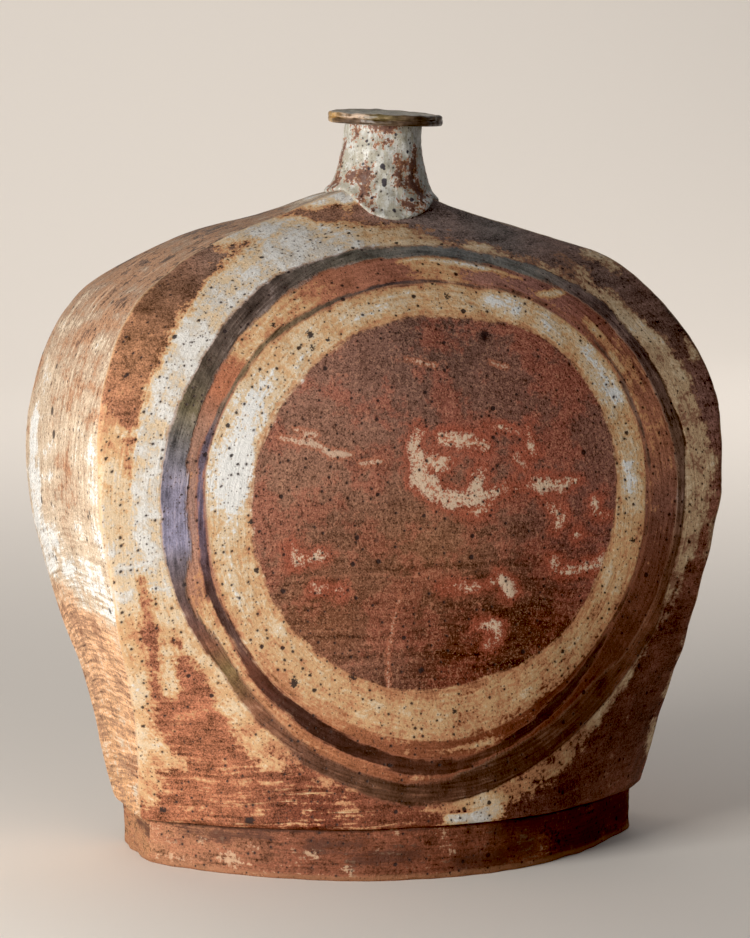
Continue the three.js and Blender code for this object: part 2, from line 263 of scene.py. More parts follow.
DARK_OUTSIDE = {
    0: 143.5, 7: 144.5, 13: 147.6, 30: 147.3, 45: 148, 52: 146.5, 60: 143, 67: 140, 75: 138, 90: 137.4,
    105: 139.5, 112: 141, 120: 143.5, 135: 147.5, 150: 149, 165: 149.5, 180: 147.8, 187: 146.6,
    195: 144.8, 205: 142.3, 215: 140.2, 225: 143, 233: 145, 240: 148.4, 248: 150, 255: 152.8, 270: 153,
    278: 150.5, 285: 149, 300: 148.5, 315: 148.5, 330: 148, 338: 145, 345: 143.8,
}
OUTER_RADIUS = {
    0: 160, 15: 162, 30: 161, 42: 157, 52: 150, 66: 143.5, 75: 141, 90: 145, 105: 152, 112: 158, 120: 163,
    150: 166, 180: 163, 210: 149, 240: 156, 270: 158.8, 290: 160, 308: 157, 322: 151, 330: 150, 345: 152,
}

# Thickness of the glaze by the same angles, from bare clay at 0 to thick white at 1, and the thicknesses
# between which it turns to each next colour
GLAZE_STEPS = ((0.16, 0.3), (0.32, 0.46), (0.5, 0.66), (0.7, 0.86))
OUTER_GLAZE = {
    0: 0.56, 30: 0.54, 45: 0.46, 60: 0.42, 75: 0.48, 90: 0.56, 105: 0.72, 120: 0.82, 135: 0.85, 150: 0.86,
    165: 0.82, 180: 0.78, 195: 0.72, 210: 0.62, 225: 0.46, 240: 0.3, 255: 0.12, 270: 0.2, 278: 0.62,
    286: 0.48, 295: 0.34, 315: 0.34, 330: 0.44, 345: 0.44,
}
BAND_GLAZE = {
    0: 0, 12: 0.1, 24: 0.12, 30: 0.3, 38: 0.2, 48: 0.02, 60: 0.1, 72: 0.08, 80: 0.36, 88: 0.34, 96: 0.04,
    116: 0.12, 122: 0.38, 132: 0.42, 139: 0.5, 143: 0.08, 154: 0, 166: 0.08, 180: 0.02, 192: 0.12,
    200: 0.38, 215: 0.42, 225: 0.26, 240: 0.12, 250: 0.06, 262: 0.12, 275: 0, 285: 0.06, 300: -0.04,
    340: -0.06,
}
# Cream glaze thickest at upper left, thinnest at lower right: partly its own colour, partly painted shade
CREAM_GLAZE = {
    0: 0.56, 20: 0.6, 45: 0.6, 60: 0.58, 90: 0.56, 120: 0.58, 135: 0.62, 145: 0.74, 160: 0.84, 172: 0.82,
    180: 0.7, 190: 0.6, 205: 0.55, 225: 0.49, 240: 0.46, 270: 0.42, 300: 0.41, 330: 0.45, 345: 0.52,
}

# Colours of the dark ring, the line and the clay between them, by the same angles
# From 166 to 188 degrees the blue violet is partly the glaze's own colour, partly a painted reflection
DARK_TONE = {
    0: (0.15, 0.09, 0.068), 15: (0.126, 0.076, 0.056), 35: (0.125, 0.082, 0.072),
    50: (0.15, 0.105, 0.093), 62: (0.16, 0.15, 0.135), 80: (0.14, 0.137, 0.13), 105: (0.12, 0.105, 0.085),
    125: (0.095, 0.07, 0.06), 142: (0.088, 0.064, 0.052), 150: (0.1, 0.077, 0.055),
    156: (0.135, 0.108, 0.062), 161: (0.15, 0.13, 0.11), 166: (0.17, 0.155, 0.17),
    172: (0.21, 0.19, 0.25), 184: (0.2, 0.185, 0.26), 188: (0.15, 0.125, 0.15), 193: (0.11, 0.075, 0.075),
    203: (0.12, 0.055, 0.042), 209: (0.2, 0.085, 0.05), 215: (0.17, 0.11, 0.05), 225: (0.18, 0.08, 0.048),
    240: (0.13, 0.062, 0.042), 255: (0.09, 0.046, 0.03), 270: (0.078, 0.038, 0.026),
    283: (0.09, 0.044, 0.03), 292: (0.085, 0.04, 0.028), 305: (0.1, 0.044, 0.03),
    315: (0.14, 0.058, 0.036), 330: (0.165, 0.068, 0.042), 350: (0.15, 0.074, 0.05),
}
LINE_TONE = {
    0: (0.19, 0.115, 0.085), 27: (0.15, 0.1, 0.08), 60: (0.2, 0.12, 0.09), 85: (0.12, 0.09, 0.08),
    95: (0.075, 0.062, 0.064), 108: (0.085, 0.075, 0.068), 125: (0.13, 0.1, 0.065),
    142: (0.2, 0.15, 0.09), 154: (0.2, 0.15, 0.12), 160: (0.12, 0.105, 0.14), 176: (0.12, 0.105, 0.16),
    187: (0.085, 0.062, 0.08), 195: (0.058, 0.037, 0.04), 210: (0.07, 0.042, 0.04),
    217: (0.09, 0.034, 0.025), 225: (0.042, 0.016, 0.014), 233: (0.022, 0.011, 0.011),
    247: (0.022, 0.011, 0.01), 255: (0.045, 0.02, 0.015), 270: (0.062, 0.028, 0.02),
    285: (0.065, 0.031, 0.022), 293: (0.048, 0.027, 0.022), 312: (0.048, 0.027, 0.022),
    322: (0.07, 0.038, 0.028), 330: (0.13, 0.065, 0.045), 345: (0.16, 0.085, 0.06),
}
BAND_TONE = {
    0: (0.21, 0.1, 0.075), 15: (0.33, 0.145, 0.092), 45: (0.25, 0.105, 0.077), 60: (0.28, 0.14, 0.115),
    75: (0.32, 0.165, 0.13), 95: (0.3, 0.13, 0.09), 120: (0.36, 0.15, 0.09), 150: (0.37, 0.145, 0.082),
    158: (0.31, 0.17, 0.12), 180: (0.3, 0.18, 0.15), 195: (0.4, 0.2, 0.13), 215: (0.4, 0.19, 0.1),
    240: (0.34, 0.14, 0.07), 258: (0.27, 0.1, 0.055), 270: (0.21, 0.078, 0.044), 285: (0.18, 0.06, 0.034),
    305: (0.13, 0.045, 0.03), 320: (0.12, 0.05, 0.034), 340: (0.15, 0.062, 0.042),
    350: (0.16, 0.07, 0.05),
}

# Rings on the back: radii of the disc, the cream ring, the line, the dark ring's two edges and the ground
BACK_DISC = 62
BACK_CREAM = 84
BACK_LINE = 88
BACK_DARK_INSIDE = 112
BACK_DARK_OUTSIDE = 120
BACK_GROUND = 130

# Touches of the brush on the front: x, z and half width at each of their points, and how thick the glaze
# is there. White on the cream ring, glaze on the clay between the rings and on the ground outside, and
# the pale patches of the disc
WHITE_TOUCHES = [
    [(-105, 206, 4.5, 0.96), (-104, 220, 6.5, 1.04), (-99, 238, 5, 0.96), (-90, 256, 4, 0.84),
     (-82, 268, 3, 0.76)],
    [(42, 301, 4, 0.82), (58, 299, 5, 0.84)],
    [(74, 291, 4, 0.8), (80, 280, 3, 0.76)],
    [(96, 272, 4, 0.8), (103, 262, 3, 0.82), (109, 252, 5, 0.84)],
    [(115, 212, 4, 0.86), (116, 200, 4, 0.78)],
]
BAND_TOUCHES = [
    [(-4, 321.6, 0.6, 0.6), (8, 323.4, 1.1, 0.76), (28, 321.8, 1.6, 0.86), (48, 317.6, 1.2, 0.8)],
    [(48, 317.6, 1, 0.7), (66, 311.6, 0.5, 0.56)],
    [(92, 305.4, 1.2, 0.66), (82, 304, 2.2, 0.74), (73, 304, 1.2, 0.62)],
    [(98, 290, 2, 0.44), (107, 280, 2.4, 0.5), (115, 264, 1.5, 0.4)],
    [(-14, 68.5, 1.5, 0.42)],
    [(6, 67, 1.5, 0.34), (34, 71, 2, 0.36)],
]
GROUND_TOUCHES = [
    [(-170, 245, 8, 0.45), (-168, 215, 10, 0.66), (-165, 190, 12, 0.7), (-163, 165, 10, 0.68),
     (-160, 140, 8, 0.55), (-155, 120, 8, 0.5), (-150, 100, 7, 0.5), (-147, 80, 8, 0.56),
     (-143, 60, 9, 0.64), (-140, 42, 7, 0.5)],
    [(-140, 150, 5, 0.64), (-137, 130, 4, 0.66), (-134, 102, 3, 0.6)],
    [(-148, 66, 7, 0.6), (-128, 60, 5, 0.5)],
    [(-98, 78, 3, 0.46), (-84, 65, 4, 0.56), (-70, 60, 2, 0.4)],
    [(-95, 338, 6, 0.84), (-60, 341, 6, 0.8), (-40, 336, 5, 0.78)],
    [(-48, 353, 4, 0.72), (-18, 359, 8, 0.9)],
    [(8, 34, 2, 0.7), (24, 31, 5, 1.0), (34, 35, 5, 0.8)],
    [(109, 323, 1.5, 0.58), (119, 320, 2.4, 0.66), (127, 315, 1, 0.58)],
    [(158, 279, 0.6, 0.6), (161, 270, 2, 0.66)],
    [(166, 218, 2, 0.66), (167, 208, 2.5, 0.66)],
    [(169, 178, 3, 0.6), (166, 160, 2, 0.5)],
    [(160, 112, 2, 0.5), (156, 80, 2, 0.5)],
    [(148, 62, 3, 0.45), (150, 45, 3, 0.5)],
    [(92, 318, 5, 0.36), (104, 312, 4, 0.4)],
]
PATCHES = [
    [(-5, 237, 1.5, 0.5), (-7, 228, 3, 0.62), (-4, 214, 4.5, 0.7), (4, 205, 5, 0.74), (14, 200, 4, 0.74),
     (25, 201, 3, 0.72), (37, 203, 1, 0.5)],
    [(29, 212, 2.5, 0.72), (25, 206, 2.5, 0.72)],
    [(1, 220, 4, 0.5), (9, 220, 3, 0.44)],
    [(8, 232, 2.5, 0.5), (20, 231, 2.6, 0.48), (32, 228, 1.6, 0.42)],
    [(18, 193, 1, 0.3), (34, 196, 1, 0.3)],
    [(40, 205, 0, 0.4), (55, 206, 0.4, 0.5), (63, 206, 3, 0.7), (76, 206, 2.4, 0.66), (85, 207, 0, 0.4)],
    [(57, 235, 0, 0.5), (59, 224, 1.4, 0.52)],
    [(49, 222, 0, 0.5), (54, 217, 0.2, 0.6)],
    [(36, 238, -0.6, 0.4), (52, 234, -0.4, 0.5)],
    [(-74, 178, 1, 0.5), (-70, 172, 2.8, 0.62), (-58, 174, 1.2, 0.5)],
    [(-61, 157, 0.8, 0.52), (-51, 156, 1.6, 0.6)],
    [(40, 157, 1.6, 0.62), (44, 152, 3.6, 0.86), (44, 148, 1, 0.7)],
    [(7, 152, -0.4, 0.4), (20, 153, 0.4, 0.45), (38, 155, 1.2, 0.5)],
    [(28, 133, 0.4, 0.42), (38, 132, 1.2, 0.48), (39, 125, 0.6, 0.46)],
    [(30, 122, 0, 0.4), (36, 121, 0.2, 0.45)],
    [(68, 195, 0.4, 0.45), (75, 187, 1.8, 0.54), (72, 182, 0, 0.5)],
    [(95, 194, 0.6, 0.5), (96, 189, 1.2, 0.52), (101, 186, 0.2, 0.5)],
    [(85, 178, 1.3, 0.66)],
    [(72, 165, 0.8, 0.44), (76, 158, 0.8, 0.5), (88, 159, 1.2, 0.5), (101, 162, 0.8, 0.44)],
]

# Scratches through the disc and dark spots, without a thickness, and washes of colour as x, z, the radius
# and the colour
SCRATCHES = [
    [(-79, 236, 0.8), (-62, 232, 1.4), (-52, 228, 0.9), (-44, 227, 0.7)],
    [(-66, 237, 0.6), (-52, 226, 1.4), (-42, 226, 1.0)],
    [(-71, 240, 0.6), (-60, 237, 0.8)],
    [(-37, 221, 0.8), (-26, 222, 1.0)],
    [(-9, 274, 0.2), (7, 270, 0.6)],
    [(38, 271, 0.2), (47, 268, 0.6)],
    [(-16, 152, -0.2), (-19, 140, 0.3), (-23, 122, 0), (-23, 103, 0.3), (-21, 90, -0.2), (-21, 76, 0)],
]
SPOTS = [
    (37, 284, 2.6), (-73, 107, 2.0), (-42, 109, 2.1), (-5, 111, 1.7), (13, 88, 1.4), (118, 173, 1.7),
    (20, 305, 1.3), (7, 309, 1.0), (-59, 288, 1.3), (-50, 285, 1.1), (-58, 281, 1.2), (-96, 193, 1.5),
    (-77, 293, 1.2), (-130, 32, 1.8), (-92, 31, 2.2),
]
# Dark washes low on the disc and low and right on the ground: partly the clay's tone, partly painted shade
DISC_WASHES = [
    (-75, 205, 55, (0.31, 0.162, 0.112)), (20, 287, 42, (0.14, 0.085, 0.07)),
    (70, 250, 50, (0.205, 0.102, 0.08)), (85, 172, 45, (0.165, 0.068, 0.055)),
    (0, 170, 45, (0.26, 0.126, 0.076)), (-60, 140, 45, (0.185, 0.08, 0.047)),
    (20, 112, 50, (0.108, 0.034, 0.02)), (62, 122, 35, (0.088, 0.032, 0.02)),
]
GROUND_WASHES = [
    (-150, 285, 45, (0.35, 0.17, 0.092)), (-135, 312, 32, (0.18, 0.092, 0.056)),
    (-90, 325, 30, (0.2, 0.13, 0.1)), (-40, 343, 40, (0.24, 0.13, 0.09)),
    (-110, 50, 60, (0.33, 0.128, 0.07)), (-60, 32, 35, (0.15, 0.045, 0.027)),
    (0, 35, 40, (0.16, 0.055, 0.034)), (70, 35, 50, (0.12, 0.053, 0.041)),
    (130, 70, 60, (0.11, 0.05, 0.039)), (150, 130, 50, (0.13, 0.056, 0.042)),
    (168, 200, 50, (0.21, 0.095, 0.07)), (160, 245, 40, (0.22, 0.12, 0.1)),
    (150, 285, 30, (0.13, 0.075, 0.06)), (115, 308, 45, (0.17, 0.11, 0.092)),
    (60, 335, 45, (0.15, 0.122, 0.112)), (20, 350, 30, (0.2, 0.155, 0.14)),
]

# Glaze on the left side strip: how thick it is by distance up the strip, and touches in y and that
# distance, with dark spots and the colours of the clay and of thin glaze
STRIP_GLAZE = ([0, 30, 110, 124, 136, 150, 165, 215, 235, 300, 330, 400, 445],
               [0.5, 0.4, 0.42, 0.56, 0.8, 0.76, 0.62, 0.58, 0.48, 0.38, 0.3, 0.3, 0.56])
STRIP_TOUCHES = [
    [(-74, 138, 6, 0.74), (0, 138, 9, 0.82), (45, 141, 10, 0.86)],
    [(50, 150, 16, 0.86), (48, 185, 20, 0.9), (52, 215, 12, 0.88)],
    [(-77, 160, 5, 0.7), (-78, 190, 7, 0.75), (-73, 215, 7, 0.7)],
    [(-60, 222, 2, 0.76), (-10, 223, 2, 0.7)],
    [(-22, 174, 20, 0.5), (-25, 196, 16, 0.46)],
    [(30, 232, 7, 0.6), (50, 246, 10, 0.68)],
    [(45, 264, 9, 0.6), (38, 285, 7, 0.55)],
    [(-6, 404, 5, 0.6), (0, 420, 7, 0.76), (0, 440, 7, 0.62)],
]
STRIP_SPOTS = [
    (30, 172, 2.2), (22, 140, 1.8), (8, 172, 1.4), (-65, 180, 1.4), (-71, 132, 1.9), (-58, 166, 1.5),
    (20, 246, 1.6), (21, 236, 1.3), (-22, 290, 1.7), (8, 222, 2.4), (1, 210, 2.6), (-68, 183, 1.2),
]
STRIP_GROUND = {
    0: (0.42, 0.19, 0.095), 200: (0.34, 0.17, 0.1), 250: (0.22, 0.125, 0.085), 330: (0.16, 0.105, 0.08),
    445: (0.24, 0.18, 0.14),
}
STRIP_OCHRE = {
    0: (0.58, 0.315, 0.155), 110: (0.66, 0.38, 0.215), 140: (0.48, 0.36, 0.26), 235: (0.45, 0.335, 0.24),
    300: (0.33, 0.22, 0.155), 400: (0.33, 0.24, 0.175), 445: (0.42, 0.34, 0.27),
}

# Marks on the neck: degrees round it, height and half width. NECK_SCALE is the length of a degree
NECK_SCALE = 0.42
NECK_RUST = [
    [(-152, 365, 2), (-140, 366, 3), (-128, 366, 3.5), (-127, 357, 2.5), (-118, 352, 1.5)],
    [(-129, 371, 2), (-125, 364, 2.5)],
    [(-174, 378, 1), (-171, 366, 1.5), (-166, 361, 1)],
    [(176, 382, 1.5), (182, 370, 2.5), (186, 362, 3)],
    [(-86, 377, 1), (-82, 369, 3), (-84, 362, 2)],
    [(-55, 380, 1), (-61, 369, 3.5), (-66, 361, 3.5), (-50, 357, 3.5)],
    [(-74, 372, 2)],
    [(-150, 392, 1.4), (-145, 385, 1)],
    [(-128, 393, 1.5), (-98, 392, 2), (-80, 393, 1)],
    [(-119, 384.5, 0.2), (-100, 384.5, 1)],
    [(-79, 351, 2), (-60, 349, 1.5)],
    [(-20, 375, 3), (-5, 360, 4)],
    [(40, 370, 5), (60, 360, 4)],
    [(100, 378, 3), (112, 366, 5)],
    [(140, 360, 4)],
]
NECK_SPOTS = [
    (-107, 371.2, 1.5), (-105, 369.8, 0.7), (-104, 363.4, 1.5), (-104, 361.4, 1.2), (-134, 372.2, 0.9),
    (-125, 369.8, 0.8), (-71, 378.5, 0.9), (-68, 353, 1.2), (-92, 347.8, 1.0), (-118, 354.5, 0.8),
    (-131, 384.5, 0.7), (-128, 382.8, 0.7), (-101, 366.8, 0.6), (-90, 388, 0.8), (-165, 353, 0.9),
]

# Washes round the rim's edge: degrees, height above its underside, radius and colour. RIM_SCALE is the
# length of a degree
RIM_SCALE = 0.54
RIM_WASHES = [
    (-180, 3, 22, (0.4, 0.24, 0.09)), (180, 3, 22, (0.4, 0.24, 0.09)),
    (-140, 3.5, 22, (0.28, 0.19, 0.13)), (-108, 3.5, 18, (0.17, 0.13, 0.06)),
    (-70, 3, 26, (0.085, 0.055, 0.036)), (-20, 3, 20, (0.07, 0.048, 0.04)),
    (0, 3, 10, (0.28, 0.13, 0.06)), (60, 3, 40, (0.15, 0.11, 0.06)), (120, 3, 30, (0.2, 0.15, 0.08)),
]

# Marks on the front of the foot: x, z and half width, then its washes, and where along the band each
# strip's paint starts
FOOT_SMOKE = [
    [(-62, 19, 1), (-40, 20, 1.5)],
    [(-40, 12, 1), (-10, 14, 1)],
    [(38, 24, 2.5), (62, 24, 3)],
    [(72, 23, 1.5), (92, 21, 3)],
    [(84, 10, 3), (106, 12, 5)],
    [(14, 8, 1.5), (38, 8, 2)],
    [(46, 13, 1.5), (56, 12, 1.5)],
    [(112, 20, 3), (134, 14, 3)],
    [(-118, 21, 1), (-84, 22, 1)],
]
FOOT_FLECKS = [
    [(-104, 9, 1.5), (-98, 8, 2)],
    [(-95, 16, -0.5), (-83, 16, 0)],
    [(-130, 6, 0.5), (-116, 5, 0.5)],
    [(-112, 16, 0.2)],
    [(-64, 14, 0), (-60, 12, 0)],
    [(-30, 18, -0.5)],
    [(-48, 7, -0.6), (-44, 6, -0.6)],
    [(8, 14, -0.6), (11, 14, -1)],
]
# The washes darken the front towards the right: partly the clay's own tone, partly painted shade
FOOT_WASHES = [
    (-142, 12, 26, (0.56, 0.31, 0.17)), (-108, 12, 36, (0.41, 0.19, 0.108)),
    (-50, 12, 50, (0.2, 0.076, 0.046)), (110, 12, 70, (0.12, 0.055, 0.038)),
]
FOOT_STARTS = {"foot_front": 0, "foot_right": 300, "foot_back": 600, "foot_left": 900}

# Camera, where the photograph was taken from: place, turn to the right, dip and lens
CAMERA_PLACE = (-638.2, -1951.7, 480.3)
CAMERA_TURN = math.radians(18.18)
CAMERA_DIP = math.radians(7.65)
CAMERA_LENS = 145.15

# Stage: a floor that bends up into a backdrop behind the vase
STAGE_FRONT = -6000.0
STAGE_BEND_START = 2300.0
STAGE_BEND_RADIUS = 1500.0
STAGE_TOP = 4000.0
STAGE_HALF_WIDTH = 5000.0

# Nodes inside that keep their own shape
PLAIN_NODES = ("floor_slab", "floor_coil", "front_left_coil", "front_right_coil", "back_left_coil",
               "back_right_coil")


def spline(points, t):
    """Centripetal Catmull-Rom curve through the points, for t from 0 to 1 in equal spans. Each span is
    a cubic, and its end slopes weigh the neighbouring chords by the square roots of their lengths."""
    t = np.asarray(t, float)
    padded = np.vstack([2 * points[0] - points[1], points, 2 * points[-1] - points[-2]])
    knots = np.sqrt(np.linalg.norm(np.diff(padded, axis=0), axis=1))
    place = np.clip(t, 0, 1) * (len(points) - 1)
    span = np.minimum(place.astype(int), len(points) - 2)
    w = (place - span)[..., None]
    p0, p1, p2, p3 = (padded[span + i] for i in range(4))
    d0, d1, d2 = (knots[span + i][..., None] for i in range(3))
    start = ((p1 - p0) / d0 - (p2 - p0) / (d0 + d1) + (p2 - p1) / d1) * d1
    end = ((p2 - p1) / d1 - (p3 - p1) / (d1 + d2) + (p3 - p2) / d2) * d1
    bend = 3 * (p2 - p1) - 2 * start - end
    return p1 + w * start + w**2 * bend + w**3 * (2 * (p1 - p2) + start + end)


def ripple(points, wavelength, seed, waves=24):
    """Smooth random field about 0 with a spread of 1: a sum of plane waves in random directions, whose
    lengths lie around the given one."""
    random = np.random.default_rng(seed)
    directions = random.normal(size=(waves, 3))
    directions /= np.linalg.norm(directions, axis=1, keepdims=True)
    numbers = 2 * math.pi / (wavelength * random.uniform(0.7, 1.4, waves))
    phases = random.uniform(0, 2 * math.pi, waves)
    field = np.cos(points @ (directions * numbers[:, None]).T + phases).sum(-1)
    return field * math.sqrt(2 / waves)


def hand_waves(points, waves):
    """Sum of ripples, each given by its height, its wavelength and its seed."""
    return sum(height * ripple(points, wavelength, seed) for height, wavelength, seed in waves)


def bell(value, centre, spread):
    """1 at a centre, falling to 0 on both sides as a bell curve."""
    return np.exp(-(((value - centre) / spread) ** 2))


def uneven(size, share, points, wavelength, seed):
    """A size that varies along the points by a share of itself."""
    return size * (1 + share * ripple(points, wavelength, seed))


def worn_back(wear, distance):
    """How far a surface is worn back at a distance from its edge: (wear - distance)^2 / (2 wear)."""
    return np.clip(wear - distance, 0, None) ** 2 / (2 * wear)


def unit(vectors):
    """Vectors of length 1."""
    return vectors / np.linalg.norm(vectors, axis=-1, keepdims=True)


def grid_normals(points):
    """Normal at each point of a grid: the cross product of the steps along its row and its column."""
    along = np.gradient(points, axis=1)
    up = np.gradient(points, axis=0)
    return unit(np.cross(along, up))


def ring_normals(ring):
    """Normals of a grid that runs right round and meets itself."""
    return grid_normals(np.concatenate([ring[:, -1:], ring, ring[:, :1]], axis=1))[:, 1:-1]


def side_columns(corners, index, count):
    """Column numbers of one of a ring's four sides, from its corner to the next one."""
    end = corners[index + 1] if index < 3 else count
    return np.arange(corners[index], end + 1) % count


def arch_at(x):
    """Rise of the foot's arched top over its ends: highest at the middle, falling as the square."""
    return FOOT_ARCH * (1 - ((x - SEAT_CENTRE) / SEAT_HALF) ** 2)


def settled(x, y, z):
    """Points of the body, raised by the arch of the foot, which fades out above it."""
    fade = np.clip(1 - (z - BODY_BASE) / FOOT_ARCH_FADE, 0, 1)
    return np.stack([x, y, z + arch_at(x) * fade], -1)


def ridge_at(side, t, inset):
    """One side's ridge: x, z, half width of the side strip, and the outline's outward normal in x, z."""
    curve = LEFT_RIDGE if side < 0 else RIGHT_RIDGE
    point = spline(curve, t)
    step = spline(curve, t + 1e-4) - spline(curve, t - 1e-4)
    length = np.hypot(step[..., 0], step[..., 2])
    normal_x = side * step[..., 2] / length
    normal_z = -side * step[..., 0] / length
    x = point[..., 0] - inset * normal_x
    z = BODY_BASE + point[..., 2] - inset * normal_z
    return x, z, point[..., 1], normal_x, normal_z


def swelled(edge, middle, u):
    """Depth across a face, from its edge to its middle."""
    return edge + (middle - edge) * (1 - np.abs(u) ** FACE_FULLNESS)


def face_surface(facing, u, t, inset):
    """Front (facing 1) or back (facing -1) face: straight from ridge to ridge in x and z, and swelling
    in depth as 1 - |u| to the power of the fullness."""
    left_x, left_z, left_half, _, _ = ridge_at(-1, t, inset)
    right_x, right_z, right_half, _, _ = ridge_at(1, t, inset)
    across = (u + 1) / 2
    edge = left_half + (right_half - left_half) * across - inset
    middle = spline(FACE_DEPTH, t)[..., 0] - inset
    depth = swelled(edge, middle, u)
    x = left_x + (right_x - left_x) * across
    z = left_z + (right_z - left_z) * across
    return settled(x, -facing * depth, z)


def strip_surface(side, v, t, inset):
    """Side strip: v runs over its width, and it is crowned along the outline's normal on a large
    radius."""
    x, z, half, normal_x, normal_z = ridge_at(side, t, inset)
    crown = (1 - v**2) * half**2 / (2 * STRIP_CROWN_RADIUS)
    return settled(x + crown * normal_x, v * (half - inset), z + crown * normal_z)


def throat_distance(points):
    """Distance from the neck's axis."""
    return np.hypot(points[..., 0] - NECK_X, points[..., 1])


def trimmed(surface, across, heights):
    """Grid of a surface whose columns end where they reach the throat, which lies in its top fifth.
    heights are shares of the way up each column."""
    levels = np.linspace(0.8, 1, 401)
    probe = surface(across[None, :], levels[:, None])
    inside = throat_distance(probe) < THROAT_RADIUS
    first = np.where(inside.any(0), inside.argmax(0), len(levels) - 1)
    tops = levels[first]
    return surface(across[None, :], heights[:, None] * tops[None, :])


def even_heights(count):
    """Row parameters at equal steps along the left ridge, with extra rows close to the bottom edge."""
    t = np.linspace(0, 1, 2001)
    steps = np.linalg.norm(np.diff(spline(LEFT_RIDGE, t), axis=0), axis=1)
    arc = np.concatenate([[0], np.cumsum(steps)])
    low = np.array([0, 0.3, 0.6, 1.0, 1.5, 2.1, 2.8])
    levels = np.concatenate([low, np.linspace(3.7, arc[-1], count - len(low))])
    return np.interp(levels, arc, t)


def edged(count, half_width):
    """Column parameters from -1 to 1: fine steps next to both edges and equal ones between."""
    near = np.array([0, 0.5, 1.0, 1.6, 2.2, 2.9, 3.7, 4.7]) / half_width
    middle = np.linspace(-1 + 6 / half_width, 1 - 6 / half_width, count - 2 * len(near))
    return np.concatenate([near - 1, middle, (1 - near)[::-1]])


def rounded_corner(points, column, wear):
    """Rounds a ridge of the ring of points in place. Beside a corner of angle a, a point at distance d
    across it moves in along the bisector by cot(a/2) (wear - d)^2 / (2 wear), a parabola that touches
    both sides."""
    count = points.shape[1]
    corner = points[:, column].copy()
    before = unit(points[:, (column - CORNER_REACH) % count] - corner)
    after = unit(points[:, (column + CORNER_REACH) % count] - corner)
    half_angle = np.arccos(np.clip((before * after).sum(-1), -1, 1)) / 2
    bisector = unit(before + after)
    for step in range(-CORNER_REACH, CORNER_REACH + 1):
        near = (column + step) % count
        distance = np.linalg.norm(points[:, near] - corner, axis=-1) * np.sin(half_angle)
        cut = worn_back(wear, distance) / np.tan(half_angle)
        points[:, near] += bisector * cut[:, None]


def slab_surfaces(inset, face_u, strip_v):
    """Each slab's surface at an inset and the places of its columns, in their order round the body."""
    return {
        "front_slab": (lambda u, t: face_surface(1, u, t, inset), face_u),
        "right_side_strip": (lambda v, t: strip_surface(1, v, t, inset), strip_v),
        "back_slab": (lambda u, t: face_surface(-1, -u, t, inset), face_u),
        "left_side_strip": (lambda v, t: strip_surface(-1, -v, t, inset), strip_v),
    }


def body_ring():
    """The whole skin of the body, right round: front, right strip, back and left strip, each sharing
    its first column with the one before. Ridges and bottom edge are worn, and the surface is moved
    along its normal by the waves that hands leave in clay."""
    heights = even_heights(ROWS)
    face_u = edged(FACE_COLUMNS, STATIONS[:, 0].max())
    strip_v = edged(STRIP_COLUMNS, STATIONS[:, 4].max())
    surfaces = slab_surfaces(0.0, face_u, strip_v)
    sides = [trimmed(surface, across, heights) for surface, across in surfaces.values()]
    ring = np.concatenate([side[:, :-1] for side in sides], axis=1)
    smooth = ring.copy()
    corners = np.cumsum([0] + [side.shape[1] - 1 for side in sides[:-1]])
    for index, column in enumerate(corners):
        ridge = ring[:, column]
        chips = 0.5 * np.clip(ripple(ridge, 7, 41 + index) - 1.1, 0, None)
        wear = uneven(RIDGE_WEAR, 0.35, ridge, 26, 31 + index) + chips
        rounded_corner(ring, column, np.clip(wear, RIDGE_WEAR_LEAST, None))
    height = ring[..., 2] - (BODY_BASE + arch_at(ring[..., 0]))
    wear = uneven(BASE_WEAR, 0.3, ring, 30, 51)
    normals = ring_normals(ring)
    level = unit(normals * (1, 1, 0))
    ring -= level * worn_back(wear, height)[..., None]
    ring += normals * hand_waves(smooth, BODY_WAVES)[..., None]
    return ring, ring_normals(ring), smooth, corners, heights


def make_mesh(name, points, faces, normals=None, fields=None):
    """A mesh piece from arrays in millimetres. Normals may be given for the first points, and fields
    are float values, or colours in four numbers, stored as attributes of the points."""
    mesh = bpy.data.meshes.new(name)
    mesh.from_pydata((points * MM).tolist(), [], faces)
    mesh.polygons.foreach_set("use_smooth", np.ones(len(mesh.polygons), bool))
    for label, values in (fields or {}).items():
        kind = "FLOAT_COLOR" if values.ndim == 2 else "FLOAT"
        padded = np.zeros((len(points),) + values.shape[1:])
        padded[: len(values)] = values
        attribute = mesh.attributes.new(label, kind, "POINT")
        attribute.data.foreach_set("color" if kind == "FLOAT_COLOR" else "value", padded.ravel())
    if normals is not None:
        padded = np.zeros((len(points), 3))
        padded[: len(normals)] = normals
        mesh.normals_split_custom_set_from_vertices(padded.tolist())
    mesh.update()
    piece = bpy.data.objects.new(name, mesh)
    bpy.context.scene.collection.objects.link(piece)
    return piece


def zipped(outer, inner):
    """Triangles of the band between two rows of point numbers that start and end side by side. The
    inner row has fewer points, and each outer step faces the inner point nearest its middle."""
    steps = len(outer) - 1
    facing = np.rint((np.arange(steps) + 0.5) * (len(inner) - 1) / steps).astype(int)
    wide = np.stack([outer[1:], outer[:-1], inner[facing]], -1)
    before = np.concatenate([[0], facing])
    after = np.concatenate([facing, [len(inner) - 1]])
    turn = before != after
    narrow = np.stack([inner[before[turn]], inner[after[turn]], outer[turn]], -1)
    return np.concatenate([wide, narrow])


